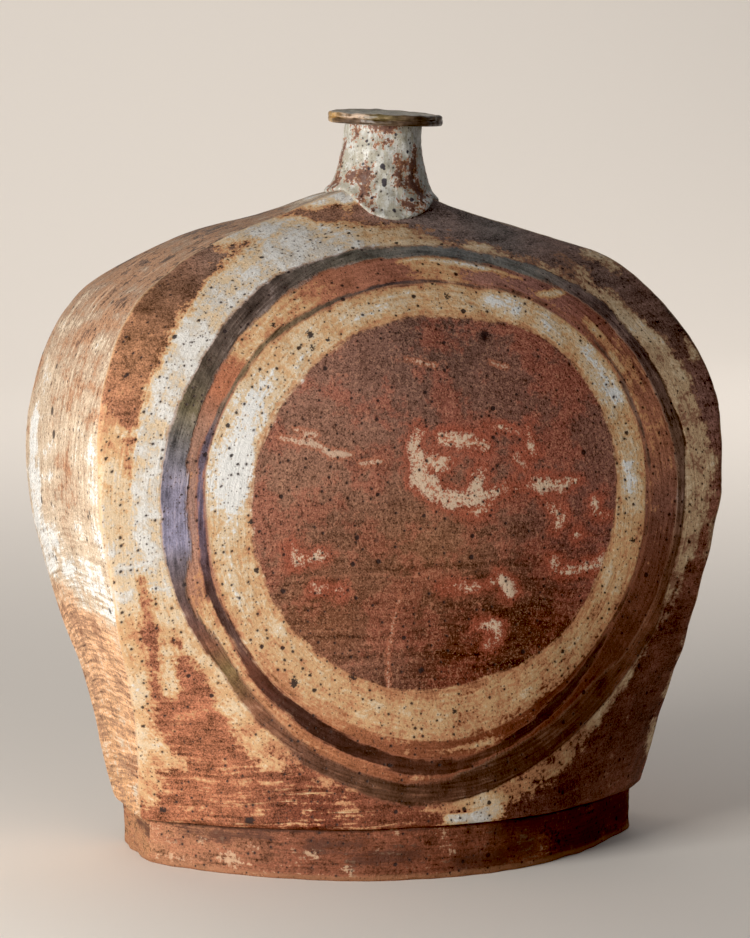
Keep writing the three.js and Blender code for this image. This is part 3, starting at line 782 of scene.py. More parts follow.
def closed_slab(name, outer, inner, normals, fields):
    """A closed slab between an outer grid and a coarser inner one with as many rows. Each row is a
    loop out along the skin and back inside, and the first and last loops are capped."""
    rows, wide, narrow = outer.shape[0], outer.shape[1], inner.shape[1]
    skin = np.arange(rows * wide).reshape(rows, wide)
    back = rows * wide + np.arange(rows * narrow).reshape(rows, narrow)
    loops = np.concatenate([skin, back[:, ::-1]], axis=1)
    turned = np.roll(loops, -1, axis=1)
    quads = np.stack([loops[:-1], turned[:-1], turned[1:], loops[1:]], -1).reshape(-1, 4)
    bottom = zipped(skin[0], back[0])
    top = zipped(skin[-1], back[-1])[:, ::-1]
    faces = quads.tolist() + bottom.tolist() + top.tolist()
    points = np.concatenate([outer.reshape(-1, 3), inner.reshape(-1, 3)])
    in_a_row = {}
    for label, values in fields.items():
        in_a_row[label] = values.reshape((rows * wide,) + values.shape[2:])
    return make_mesh(name, points, faces, normals.reshape(-1, 3), in_a_row)


def body_slabs():
    """The four slabs of the body, cut from the ring at its ridges and backed by their inner faces."""
    ring, normals, smooth, corners, heights = body_ring()
    inner_u = np.linspace(-1, 1, FACE_INNER_COLUMNS)
    inner_v = np.linspace(-1, 1, STRIP_INNER_COLUMNS)
    inner = slab_surfaces(WALL, inner_u, inner_v)
    pieces = {}
    for index, (name, (surface, across)) in enumerate(inner.items()):
        columns = side_columns(corners, index, ring.shape[1])
        back = trimmed(surface, across, heights)
        fields = paint_fields(name, smooth[:, columns])
        pieces[name] = closed_slab(name + "_dressed", ring[:, columns], back, normals[:, columns], fields)
    return pieces, ring


def around(readings, angle):
    """Value at each angle of a smooth closed curve through readings given in degrees. A cubic runs
    between neighbours, and its slope at a reading is that of the chord across both its neighbours."""
    marks = np.array(sorted(readings), float)
    values = np.array([readings[mark] for mark in sorted(readings)], float)
    gaps = np.diff(np.append(marks, marks[0] + 360))
    slopes = (np.roll(values, -1) - np.roll(values, 1)) / (gaps + np.roll(gaps, 1))
    degrees = np.degrees(angle) % 360
    first = np.searchsorted(marks, degrees, side="right") - 1
    after = (first + 1) % len(marks)
    w = (degrees - marks[first]) / gaps[first]
    bulge = gaps[first] * w * (1 - w) * ((1 - w) * slopes[first] - w * slopes[after])
    return values[first] + (values[after] - values[first]) * w**2 * (3 - 2 * w) + bulge


def blended(readings, place, period=None):
    """Colour at each place, blended straight between the readings, which may come round again after
    a period."""
    marks = sorted(readings)
    colours = np.array([readings[mark] for mark in marks])
    return np.stack([np.interp(place, marks, channel, period=period) for channel in colours.T], -1)


def touched(x, y, touches):
    """Signed distance inside the touches of a brush, the largest over them all, and how thickly the
    nearest was laid on. A touch runs through points that each have a half width, and it may taper."""
    inside = np.full(x.shape, -1e3)
    weight = np.zeros(x.shape)
    for touch in touches:
        marks = touch if len(touch) > 1 else touch * 2
        for start, end in zip(np.array(marks[:-1], float), np.array(marks[1:], float)):
            step = end[:2] - start[:2]
            share = ((x - start[0]) * step[0] + (y - start[1]) * step[1]) / max(step @ step, 1e-6)
            share = np.clip(share, 0, 1)
            distance = np.hypot(x - start[0] - share * step[0], y - start[1] - share * step[1])
            reach = start[2] + (end[2] - start[2]) * share - distance
            if len(start) > 3:
                weight = np.where(reach > inside, start[3] + (end[3] - start[3]) * share, weight)
            inside = np.maximum(inside, reach)
    return inside, weight


def laid_on(thickness, x, y, touches, fade):
    """Glaze thickness with touches laid over it, each fading across its edge."""
    inside, weight = touched(x, y, touches)
    cover = np.clip(0.5 + inside / (2 * fade), 0, 1)
    return thickness + (weight - thickness) * cover * cover * (3 - 2 * cover)


def washed(x, y, base, washes):
    """Colour washes over a base, each with its full colour at a centre and fading as a bell curve."""
    tone = np.broadcast_to(np.array(base, float), x.shape + (3,)).copy()
    for centre_x, centre_y, radius, colour in washes:
        cover = np.exp(-((x - centre_x) ** 2 + (y - centre_y) ** 2) / radius**2)[..., None]
        tone += (np.array(colour) - tone) * cover
    return tone


def inside_of(x, y, touches, limit=20):
    """Signed distance inside the touches, cut off at a limit on both sides."""
    return np.clip(touched(x, y, touches)[0], -limit, limit)


def opaque(tone):
    """Colours in four numbers, the last one 1."""
    return np.concatenate([np.clip(tone, 0, 1), np.ones(tone.shape[:-1] + (1,))], -1)


def ridge_wear(points):
    """How far inside the worn edge of a ridge each point lies."""
    left = np.linalg.norm(points - points[:, :1], axis=-1)
    right = np.linalg.norm(points - points[:, -1:], axis=-1)
    return 1.5 - np.minimum(left, right)


def sheet_fields(points):
    """Distances along a surface grid: across from the middle column, and up from the bottom row."""
    steps = np.linalg.norm(np.diff(points, axis=1), axis=-1)
    across = np.concatenate([np.zeros((len(points), 1)), np.cumsum(steps, axis=1)], axis=1)
    steps = np.linalg.norm(np.diff(points, axis=0), axis=-1)
    up = np.concatenate([np.zeros((1, points.shape[1])), np.cumsum(steps, axis=0)], axis=0)
    return {"across": across - across[:, [points.shape[1] // 2]], "up": up, "skin": np.ones(up.shape)}


def front_fields(points):
    """Paint fields of the front, in millimetres from each edge, with glaze thicknesses and tones."""
    x, z = points[..., 0], points[..., 2]
    angle = np.arctan2(z - RING_Z, x - RING_X)
    degrees = np.degrees(angle) % 360
    radius = np.hypot(z - RING_Z, x - RING_X)
    disc = radius - around(DISC_RADIUS, angle)
    cream_outside = radius - around(CREAM_RADIUS, angle)
    edge_of_cream = np.minimum(np.abs(disc), np.abs(cream_outside))
    cream_glaze = around(CREAM_GLAZE, angle) - 0.14 * bell(edge_of_cream, 0, 3.5)
    inside, weight = touched(x, z, GROUND_TOUCHES)
    patch, patch_glaze = touched(x, z, PATCHES)
    outer_ring = around(OUTER_RADIUS, angle) - radius
    outer_glaze = around(OUTER_GLAZE, angle)
    touch_glaze = np.maximum(weight, outer_glaze * (outer_ring > 0))
    low_left = np.clip((110 - z) / 40, 0, 1) * np.clip((30 - x) / 70, 0, 1)
    return {
        "disc": disc,
        "cream_outside": cream_outside,
        "line": np.abs(radius - around(LINE_RADIUS, angle)) - around(LINE_HALF_WIDTH, angle),
        "dark_inside": radius - around(DARK_INSIDE, angle),
        "dark_outside": radius - around(DARK_OUTSIDE, angle),
        "cream_glaze": laid_on(cream_glaze, x, z, WHITE_TOUCHES, 5),
        "band_glaze": laid_on(around(BAND_GLAZE, angle), x, z, BAND_TOUCHES, 1.5),
        "ground_edge": np.clip(np.maximum(inside, outer_ring), -30, 30),
        "ground_glaze": np.where(inside > outer_ring, touch_glaze, outer_glaze),
        "scraped": 0.08 + 0.92 * low_left,
        "patch": np.clip(patch, -20, 20),
        "patch_glaze": patch_glaze,
        "scratch": inside_of(x, z, SCRATCHES),
        "spot": inside_of(x, z, [[spot] for spot in SPOTS]),
        "ridge_wear": ridge_wear(points),
        "dark_tone": opaque(blended(DARK_TONE, degrees, 360)),
        "line_tone": opaque(blended(LINE_TONE, degrees, 360)),
        "band_tone": opaque(blended(BAND_TONE, degrees, 360)),
        "ground_tone": opaque(washed(x, z, RUST, GROUND_WASHES)),
        "disc_tone": opaque(washed(x, z, DUSTY_RED, DISC_WASHES)),
    }


def foot_fields(name, points):
    """Paint fields of one strip of the foot. Its front is darker to the right, partly as painted shade,
    and the left end is ochre."""
    x, y, z = points[..., 0], points[..., 1], points[..., 2]
    steps = np.linalg.norm(np.diff(points[:, 10], axis=0), axis=-1)
    along = np.concatenate([[0], np.cumsum(steps)])
    across = (along - along[-1] / 2)[:, None] + 0 * z
    smoke = 4 * ripple(points * (1, 1, 3), 40, 96) - 7
    fleck = np.full(z.shape, -7.0)
    tone = washed(x, z, FOOT_BROWN, [])
    if name == "foot_front":
        smoke = np.maximum(touched(x, z, FOOT_SMOKE)[0], -14)
        fleck = np.maximum(touched(x, z, FOOT_FLECKS)[0], -7)
        tone = washed(x, z, FOOT_FRONT_BROWN, FOOT_WASHES)
    if name == "foot_left":
        tone = washed(x, z, FOOT_LEFT_OCHRE, [])
    return {
        "across": across + FOOT_STARTS[name],
        "up": z,
        "skin": np.ones(z.shape),
        "smoke": smoke,
        "fleck": fleck,
        "under_top": FOOT_HEIGHT + arch_at(x) - z,
        "ground_tone": opaque(tone),
    }


def strip_fields(side, points):
    """Paint fields of a side strip. The right one, out of sight, has looser glaze of the same kind."""
    fields = sheet_fields(points)
    y, up = points[..., 1], fields["up"]
    thickness = np.interp(up, *STRIP_GLAZE)
    if side < 0:
        thickness = laid_on(thickness, y, up, STRIP_TOUCHES, 8)
        fields["spot"] = inside_of(y, up, [[spot] for spot in STRIP_SPOTS])
    else:
        thickness = thickness * 0.8 + 0.16 * ripple(points, 60, 91)
        fields["spot"] = np.full(y.shape, -20.0)
    fields["glaze"] = thickness
    fields["ground_tone"] = opaque(blended(STRIP_GROUND, up))
    fields["ochre_tone"] = opaque(blended(STRIP_OCHRE, up))
    fields["ridge_wear"] = ridge_wear(points)
    return fields


def back_fields(points):
    """Paint fields of the back: the same brushwork, with smaller rings and looser glaze."""
    x, z = points[..., 0], points[..., 2]
    angle = np.arctan2(z - RING_Z, x - RING_X)
    wave = 3 * np.sin(2 * angle + 1) + 2 * np.sin(3 * angle)
    radius = np.hypot(z - RING_Z, x - RING_X) + wave
    loose = ripple(points, 70, 92)
    rest = np.full(x.shape, -20.0)
    return {
        "disc": radius - BACK_DISC,
        "cream_outside": radius - BACK_CREAM,
        "line": np.abs(radius - BACK_LINE) - 1.4,
        "dark_inside": radius - BACK_DARK_INSIDE,
        "dark_outside": radius - BACK_DARK_OUTSIDE,
        "cream_glaze": 0.62 + 0.16 * loose,
        "band_glaze": 0.2 + 0.14 * ripple(points, 40, 93),
        "ground_edge": 8 * ripple(points, 65, 94) + np.clip(BACK_GROUND - radius, -12, 0),
        "ground_glaze": 0.6 + 0.16 * loose,
        "scraped": np.clip((90 - z) / 40, 0.08, 1),
        "patch": 6 * ripple(points, 34, 95) - 11,
        "patch_glaze": np.full(x.shape, 0.5),
        "scratch": rest,
        "spot": rest,
        "ridge_wear": ridge_wear(points),
        "dark_tone": opaque(washed(x, z, SLATE, [(-60, 120, 70, OLIVE), (90, 150, 70, PLUM)])),
        "line_tone": opaque(washed(x, z, UMBER, [])),
        "band_tone": opaque(washed(x, z, RUST, [(0, 300, 90, GREY_BROWN)])),
        "ground_tone": opaque(washed(x, z, RUST, [(0, 330, 90, GREY_BROWN), (-140, 60, 80, DARK_RUST)])),
        "disc_tone": opaque(washed(x, z, DUSTY_RED, [(-40, 150, 60, BACK_RUST)])),
    }


def paint_fields(name, points):
    """Values that vary slowly over a slab, for its paint."""
    if name == "front_slab":
        return {**sheet_fields(points), **front_fields(points)}
    if name == "back_slab":
        return {**sheet_fields(points), **back_fields(points)}
    return strip_fields(-1 if name == "left_side_strip" else 1, points)


def ring_solid(name, sections, fields, closed=True):
    """A solid carried round a path: sections is a grid of closed section loops. An open path is capped
    at both ends."""
    rows, count = sections.shape[:2]
    numbers = np.arange(rows * count).reshape(rows, count)
    turned = np.roll(numbers, -1, axis=1)
    if closed:
        after, after_turned = np.roll(numbers, -1, axis=0), np.roll(turned, -1, axis=0)
        quads = np.stack([numbers, after, after_turned, turned], -1).reshape(-1, 4).tolist()
    else:
        quads = np.stack([numbers[:-1], numbers[1:], turned[1:], turned[:-1]], -1).reshape(-1, 4).tolist()
        quads += [numbers[0].tolist(), numbers[-1, ::-1].tolist()]
    return make_mesh(name, sections.reshape(-1, 3), quads, fields=fields)


def foot_plan(facing, u, inset):
    """Plan of a long side of the foot: the face's own curve, set in by the recesses and the inset."""
    half = SEAT_HALF - FOOT_SIDE_RECESS - inset
    edge = STATIONS[0, 4] - FOOT_FACE_RECESS - inset
    middle = STATIONS[0, 5] - FOOT_FACE_RECESS - inset
    return np.stack([SEAT_CENTRE + u * half, -facing * swelled(edge, middle, u)], -1)


def foot_end_plan(side, v, inset):
    """Plan of a short end of the foot, straight between the corners."""
    half = SEAT_HALF - FOOT_SIDE_RECESS - inset
    edge = STATIONS[0, 4] - FOOT_FACE_RECESS - inset
    return np.stack([np.full_like(v, SEAT_CENTRE + side * half), v * edge], -1)


def foot_wall(sides):
    """Outer wall of the band, right round, by column and level, and the column of each corner. It is
    worn at the corners and at both edges, and waved by hand."""
    plans = [plan(0.0) for plan in sides.values()]
    path = np.concatenate([plan[:-1] for plan in plans])
    ring = np.concatenate([path, np.zeros((len(path), 1))], axis=1)[None]
    corners = np.cumsum([0] + [len(plan) - 1 for plan in plans[:-1]])
    for column in corners:
        rounded_corner(ring, column, np.array([FOOT_CORNER_WEAR]))
    ahead = np.roll(ring, -1, axis=1) - np.roll(ring, 1, axis=1)
    outward = unit(np.cross(ahead[0], (0, 0, 1)))
    share = np.concatenate([FOOT_LOW_LEVELS, np.linspace(2.6, 21.6, 20), FOOT_HIGH_LEVELS]) / FOOT_HEIGHT
    x, y = ring[0, :, 0], ring[0, :, 1]
    top = FOOT_HEIGHT + arch_at(x)
    wall = np.stack([np.broadcast_to(x[:, None], (len(x), len(share))),
                     np.broadcast_to(y[:, None], (len(x), len(share))),
                     share[None, :] * top[:, None]], -1)
    low = worn_back(uneven(FOOT_LOW_WEAR, 0.35, wall[:, :1], 18, 61), wall[..., 2])
    high = worn_back(uneven(FOOT_HIGH_WEAR, 0.35, wall[:, -1:], 24, 62), top[:, None] - wall[..., 2])
    waves = hand_waves(wall, FOOT_WAVES) + hand_waves(wall * (0.25, 0.25, 1), FOOT_LINES)
    return wall + outward[:, None] * (waves - low - high)[..., None], corners


def foot_strips():
    """The four strips of the foot band, each a wall between its outer skin and its flat inner side."""
    u = edged(FOOT_COLUMNS, FOOT_HALF_LENGTH)
    v = edged(FOOT_END_COLUMNS, STATIONS[0, 4] - FOOT_FACE_RECESS)
    sides = {
        "foot_front": lambda inset: foot_plan(1, u, inset),
        "foot_right": lambda inset: foot_end_plan(1, v, inset),
        "foot_back": lambda inset: foot_plan(-1, -u, inset),
        "foot_left": lambda inset: foot_end_plan(-1, -v, inset),
    }
    wall, corners = foot_wall(sides)
    pieces = {}
    for index, (name, plan) in enumerate(sides.items()):
        columns = side_columns(corners, index, len(wall))
        inner = plan(FOOT_THICKNESS)
        inner_top = FOOT_HEIGHT + arch_at(inner[:, 0])
        inner_low = np.concatenate([inner, np.zeros((len(inner), 1))], axis=1)
        inner_high = np.concatenate([inner, inner_top[:, None]], axis=1)
        sections = np.concatenate([wall[columns], inner_high[:, None], inner_low[:, None]], axis=1)
        fields = foot_fields(name, wall[columns])
        fields = {label: spread(values, 2) for label, values in fields.items()}
        pieces[name] = ring_solid(name + "_dressed", sections, fields, closed=False)
    return pieces


def skin_near_neck(ring):
    """Height and radius of the body about the neck's axis, by row and by angle, over its top rows."""
    rows = ring[-NECK_ROWS:]
    angles = np.linspace(-math.pi, math.pi, 361)
    radii, heights = [], []
    for row in rows:
        turn = np.arctan2(row[:, 1], row[:, 0] - NECK_X)
        order = np.argsort(turn)
        radii.append(np.interp(angles, turn[order], throat_distance(row)[order], period=2 * math.pi))
        heights.append(np.interp(angles, turn[order], row[order, 2], period=2 * math.pi))
    return angles, np.array(radii), np.array(heights)


def scaled(touches):
    """Touches given in degrees round the neck, in millimetres."""
    return [[(mark[0] * NECK_SCALE, *mark[1:]) for mark in touch] for touch in touches]


def spread(values, extra):
    """Point values of a ring solid's sections, with zeros for the points that lie out of sight."""
    blank = np.zeros((len(values), extra) + values.shape[2:])
    whole = np.concatenate([values, blank], axis=1)
    return whole.reshape((-1,) + values.shape[2:])


def collar_radius(z, base):
    """Radius of the collar at a height: its top radius, plus the flare as a power of the way down."""
    down = np.clip((RIM_UNDERSIDE - z) / (RIM_UNDERSIDE - base), 0, None)
    return COLLAR_TOP_RADIUS + (COLLAR_BASE_RADIUS - COLLAR_TOP_RADIUS) * down**COLLAR_FLARE, down


def collar_base(angle):
    """Height of the collar's base. In front it lies where the face is as deep as the base is wide, and
    it rises to the sides."""
    depth = spline(FACE_DEPTH, np.linspace(0.5, 1, 501))
    last = np.nonzero(depth[:, 0] >= COLLAR_BASE_RADIUS)[0][-1]
    return BODY_BASE + depth[last, 2] + COLLAR_SIDE_RISE * np.cos(angle) ** 2


def collar_seat(ring, angle):
    """Height at which the collar meets the body, found by following the shoulder in along each angle
    until it is inside the collar."""
    angles, radii, heights = skin_near_neck(ring)
    radius, down = collar_radius(heights, collar_base(angles))
    lean = COLLAR_LEAN * down * np.cos(angles)
    outside = radii > radius - lean
    last = outside.shape[0] - 1 - outside[::-1].argmax(0)
    seat = heights[last, np.arange(len(angles))]
    return np.interp(angle[:, 0], angles, seat, period=2 * math.pi)[:, None]


def lap_at(turns):
    """How far the lap stands out, by the turn from it: a step that dies away round the neck, and that
    is closed over a few degrees."""
    step = LAP_STEP * np.clip(1 - turns / (2 * math.pi * LAP_SPREAD), 0, None)
    closing = np.clip((turns - (2 * math.pi - LAP_WIDTH)) / LAP_WIDTH, 0, 1)
    return (step + LAP_STEP * closing)[:, None]


def round_collar(radius, down, angle, z):
    """Points at a radius from the collar's axis, which leans over to the left on its way down."""
    x = NECK_X - COLLAR_LEAN * down + radius * np.cos(angle)
    return np.stack([x, radius * np.sin(angle), z], -1)


def neck_collar(ring):
    """The rolled collar: a flared tube that laps over itself. Its foot is a rounded lip pressed down
    where it meets the shoulder."""
    closing_turns = 2 * math.pi - LAP_WIDTH * np.array([0.75, 0.5, 0.25])
    turns = np.concatenate([np.linspace(0, 2 * math.pi - LAP_WIDTH, COLLAR_TURNS), closing_turns])
    angle = (turns + LAP_ANGLE)[:, None]
    base = collar_base(angle)
    seat = collar_seat(ring, angle)
    top = RIM_UNDERSIDE - RIM_SLOPE * COLLAR_TOP_RADIUS * np.cos(angle)
    share = np.concatenate([COLLAR_LOW_SHARES, np.linspace(0.1, 1, COLLAR_LEVELS)])
    z = seat - COLLAR_SINK + (top - seat + COLLAR_SINK) * share
    radius, down = collar_radius(z, base)
    lip = LIP_BULGE * bell(z - seat, LIP_RISE, LIP_SPREAD)
    undercut = LIP_UNDERCUT * np.clip(1 - (z - seat + COLLAR_SINK) / UNDERCUT_RISE, 0, 1) ** 2
    outer = round_collar(radius + lap_at(turns) + lip - undercut, down, angle, z)
    outward = np.stack([np.cos(angle), np.sin(angle), 0 * angle], -1)
    fade = np.clip((top - z) / 3, 0, 1)
    outer += outward * (hand_waves(outer, COLLAR_WAVES) * fade)[..., None]
    inner_z = np.linspace(1, 0, 24)[None, :] * (top - seat + COLLAR_SINK) + seat - COLLAR_SINK
    inner_radius, inner_down = collar_radius(inner_z, base)
    bore = round_collar(np.maximum(inner_radius - COLLAR_WALL, BORE_RADIUS), inner_down, angle, inner_z)
    across = (np.degrees(angle) - 360 + 0 * z) * NECK_SCALE
    fields = {
        "across": across,
        "up": z,
        "skin": np.ones(z.shape),
        "rust": inside_of(across, z, scaled(NECK_RUST), 12),
        "spot": inside_of(across, z, scaled([[spot] for spot in NECK_SPOTS])),
    }
    fields = {label: spread(values, bore.shape[1]) for label, values in fields.items()}
    return ring_solid("neck_collar_dressed", np.concatenate([outer, bore], axis=1), fields)


def rim_section(angle, edge):
    """Radius and rise of the rim's section at each angle, from the bore out under it, over the lower
    and the upper roll of its edge, and in over the dished top to the curl that turns down into the
    bore. The groove between the rolls is deep in places, and nearly closed in others."""
    circle = np.concatenate([30 * np.cos(angle), 30 * np.sin(angle), 0 * angle], axis=1)
    tucked = bell(np.degrees(angle), TUCK_ANGLE, 34)
    ragged_low = hand_waves(circle, LOW_ROLL_WAVES)[:, None] - LOW_ROLL_TUCK * tucked
    ragged_high = hand_waves(circle, HIGH_ROLL_WAVES)[:, None] - HIGH_ROLL_INSET + HIGH_ROLL_REACH * tucked
    closed = bell((np.degrees(angle) + 180) % 360, 172, 30)
    open_share = np.clip(0.6 + 0.7 * ripple(circle, 11, 86)[:, None], 0.15, 1) * (1 - 0.75 * closed)
    roll = RIM_THICKNESS / 4
    bend = np.linspace(-math.pi / 2, math.pi / 2, 11)[None, :]
    low_bulge = 1 - (1 - np.cos(bend)) * np.where(bend > 0, open_share, 1)
    high_bulge = 1 - (1 - np.cos(bend)) * np.where(bend < 0, open_share, 1)
    low_radius = edge + ragged_low - roll + roll * low_bulge
    low_rise = roll + roll * np.sin(bend) + 0 * angle
    high_radius = edge + ragged_high - roll + roll * high_bulge[:, 1:]
    high_rise = 3 * roll + roll * np.sin(bend[:, 1:]) + 0.2 * ragged_high
    dish = np.linspace(0, 1, 16)[None, 1:]
    start, end = high_radius[:, -1:], BORE_RADIUS + RIM_CURL
    top_radius = start + (end - start) * dish
    top_rise = high_rise[:, -1:] - RIM_DISH * np.sin(dish * math.pi / 2)
    curl = np.linspace(0, math.pi / 2, 6)[None, 1:]
    bore_radius = BORE_RADIUS + RIM_CURL - RIM_CURL * np.sin(curl) + 0 * angle
    bore_rise = top_rise[:, -1:] - RIM_CURL + RIM_CURL * np.cos(curl)
    under_radius = np.linspace(0, 1, 12)[None, :-1] * (low_radius[:, :1] - BORE_RADIUS) + BORE_RADIUS
    radius = np.concatenate([under_radius, low_radius, high_radius, top_radius, bore_radius], axis=1)
    rise = np.concatenate([0 * under_radius, low_rise, high_rise, top_rise, bore_rise], axis=1)
    return radius, rise


def rim_fields(angle, edge, radius, rise):
    """Paint fields of the rim: washes round its edge, painted shade low down in front on the lower roll
    under the upper one, greyer on top, plain underneath, and where a painted highlight lies on the upper
    roll at the front left."""
    degrees = (np.degrees(angle) + 180) % 360 - 180 + 0 * rise
    profile = np.concatenate([[0], np.cumsum(np.hypot(np.diff(radius[0]), np.diff(rise[0])))])
    tone = washed(degrees, rise, RIM_OLIVE, RIM_WASHES)
    # Painted shade on the lower roll in front, under the upper roll
    painted_shade = np.clip((3.2 - rise) / 0.8, 0, 1) * np.clip((np.abs(degrees + 90) - 100) / -20, 0, 1)
    tone += (np.array(RIM_PAINTED_SHADE) - tone) * 0.85 * painted_shade[..., None]
    top = np.clip((edge - 3 - radius) / 2, 0, 1) * (rise > 2)
    tone += (np.array(RIM_TOP) - tone) * top[..., None]
    under = (rise < 0.4) * (radius < edge - 2)
    tone = np.where(under[..., None], np.array(RIM_UNDER), tone)
    return {
        "across": degrees * RIM_SCALE,
        "up": profile[None, :] + 0 * rise,
        "skin": np.ones(rise.shape),
        # Where the painted highlight lies: the upper roll at the front left
        "pale": bell(degrees, -142, 30) * np.clip((rise - 2.4) / 1.2, 0, 1),
        "rim_tone": opaque(tone),
    }


def rim_flange():
    """The flange: a slightly oval, sloping ring with two ragged rolls of clay at its edge."""
    angle = np.linspace(0, 2 * math.pi, RIM_TURNS, endpoint=False)[:, None]
    edge = COLLAR_TOP_RADIUS + RIM_OVERHANG + RIM_OFFSET * np.cos(angle) + RIM_WOBBLE * np.sin(3 * angle)
    radius, rise = rim_section(angle, edge)
    z = RIM_UNDERSIDE - RIM_SLOPE * radius * np.cos(angle) + rise
    points = np.stack([NECK_X + radius * np.cos(angle), radius * np.sin(angle), z], -1)
    points[..., 2] += 0.12 * ripple(points, 9, 85) * (rise > 1)
    at_back = np.clip(np.sin(angle), 0, 1) ** 2 * np.clip((radius - 16) / 12, 0, 1)
    points[..., 2] += RIM_BACK_LIFT * at_back
    fields = rim_fields(angle, edge, radius, rise)
    fields = {label: spread(values, 0) for label, values in fields.items()}
    return ring_solid("rim_flange_dressed", points, fields)


class Level:
    """A socket of a shader. Arithmetic on a value adds Math nodes that work it out."""

    def __init__(self, paint, socket):
        self.paint = paint
        self.socket = socket

    def apply(self, operation, *values, clamp=False):
        settings = {"operation": operation, "use_clamp": clamp}
        return self.paint.add("ShaderNodeMath", settings, dict(enumerate(values)))

    def __add__(self, other):
        return self.apply("ADD", self, other)

    def __sub__(self, other):
        return self.apply("SUBTRACT", self, other)

    def __rsub__(self, other):
        return self.apply("SUBTRACT", other, self)

    def __mul__(self, other):
        return self.apply("MULTIPLY", self, other)

    def __truediv__(self, other):
        return self.apply("DIVIDE", self, other)

    def __pow__(self, other):
        return self.apply("POWER", self, other)

    __radd__ = __add__
    __rmul__ = __mul__

    def clamped(self):
        return self.apply("ADD", self, 0.0, clamp=True)

    def swing(self, amount):
        """A noise's swing about its middle, half of the amount to each side."""
        return (self - 0.5) * amount


class Paint:
    """A node material. add() makes any node from its type, its settings and its sockets' values, and
    the rest are the few kinds of node that the vase's finishes share. Lengths are in millimetres."""

    def __init__(self, name):
        self.material = bpy.data.materials.new(name)
        self.material.use_nodes = True
        self.tree = self.material.node_tree
        self.shader = self.tree.nodes["Principled BSDF"]
        metres = self.add("ShaderNodeTexCoord", outputs=["Object"])
        self.place = self.vector("SCALE", metres, Scale=1 / MM)
        self.across = self.field("across")
        self.up = self.field("up")
        self.sheet = self.join(self.across, self.up, 0.0)
        # Noises that the finishes share, from the finest up
        self.grit = self.noise(self.place, 0.8, 1)
        self.tooth = self.noise(self.place, 2.0, 2, 0.6)
        self.blot = self.noise(self.place, 12, 4, 0.65)
        self.cloud = self.noise(self.place, 34, 2)

    def add(self, kind, settings=None, inputs=None, outputs=None):
        node = self.tree.nodes.new(kind)
        for key, value in (settings or {}).items():
            setattr(node, key, value)
        for key, value in (inputs or {}).items():
            if isinstance(value, Level):
                self.tree.links.new(value.socket, node.inputs[key])
            else:
                node.inputs[key].default_value = value
        found = [Level(self, node.outputs[key]) for key in outputs or [0]]
        return found if len(found) > 1 else found[0]

    def vector(self, operation, first, second=(0, 0, 0), **inputs):
        return self.add("ShaderNodeVectorMath", {"operation": operation}, {0: first, 1: second, **inputs})

    def parts(self, vector):
        return self.add("ShaderNodeSeparateXYZ", None, {0: vector}, ["X", "Y", "Z"])

    def join(self, x, y, z):
        return self.add("ShaderNodeCombineXYZ", None, {0: x, 1: y, 2: z})

    def field(self, name):
        return self.add("ShaderNodeAttribute", {"attribute_name": name}, outputs=["Fac"])

    def tone(self, name):
        return self.add("ShaderNodeAttribute", {"attribute_name": name}, outputs=["Color"])

    def noise(self, vector, size, detail=2.0, roughness=0.5):
        """Smooth noise from 0 to 1 with features of a size."""
        inputs = {"Vector": vector, "Scale": 1 / size, "Detail": detail, "Roughness": roughness}
        return self.add("ShaderNodeTexNoise", None, inputs)

    def rise(self, value, low, high):
        """0 below low, 1 above high, and an S-curve between."""
        inputs = {"Value": value, "From Min": low, "From Max": high}
        return self.add("ShaderNodeMapRange", {"interpolation_type": "SMOOTHSTEP"}, inputs)

    def mix(self, share, first, second):
        """Colour between the first and the second."""
        full = [colour if isinstance(colour, Level) else (*colour, 1) for colour in (first, second)]
        inputs = {0: share, 6: full[0], 7: full[1]}
        return self.add("ShaderNodeMix", {"data_type": "RGBA"}, inputs, [2])

    def shade(self, colour, value):
        """A colour made darker or lighter by a value about 1."""
        return self.vector("SCALE", colour, Scale=value)

    def spots(self, size, share, radius, soft):
        """Spots with uneven edges, one at most to a cell of a size. A share of the cells has one, and
        its radius varies about the given one."""
        cell = {"Vector": self.sheet, "Scale": 1 / size}
        flat = {"voronoi_dimensions": "2D"}
        distance, chance = self.add("ShaderNodeTexVoronoi", flat, cell, ["Distance", "Color"])
        pick, width, _ = self.parts(chance)
        picked = self.rise(pick, 1 - share, 1 - share + 0.01)
        reach = (width * 1.1 + 0.4) * radius + self.grit.swing(radius * 1.6)
        return ((reach - distance * size) / soft + 0.5).clamped() * picked

    def finish(self, colour, roughness, height, depth, glass=None):
        """Ends the material: its colour, its roughness, a bump of a depth in millimetres, and how much
        glassy glaze lies over it."""
        bump = {"Height": height, "Distance": depth * MM, "Strength": 1.0}
        normal = self.add("ShaderNodeBump", None, bump)
        self.tree.links.new(colour.socket, self.shader.inputs["Base Color"])
        self.tree.links.new(normal.socket, self.shader.inputs["Normal"])
        self.shader.inputs["Specular IOR Level"].default_value = 0.2
        if glass is not None:
            self.shader.inputs["Coat Roughness"].default_value = 0.24
            self.tree.links.new(glass.socket, self.shader.inputs["Coat Weight"])
        if isinstance(roughness, Level):
            self.tree.links.new(roughness.socket, self.shader.inputs["Roughness"])
        else:
            self.shader.inputs["Roughness"].default_value = roughness
        return self.material


def glazed(paint, base, thickness, stages=(TAN, OCHRE, CREAM, WHITE)):
    """A clay's colour under glaze, which passes through stages of colour as the glaze gets thicker."""
    colour = base
    for stage, (low, high) in zip(stages, GLAZE_STEPS):
        colour = paint.mix(paint.rise(thickness, low, high), colour, stage)
    return colour


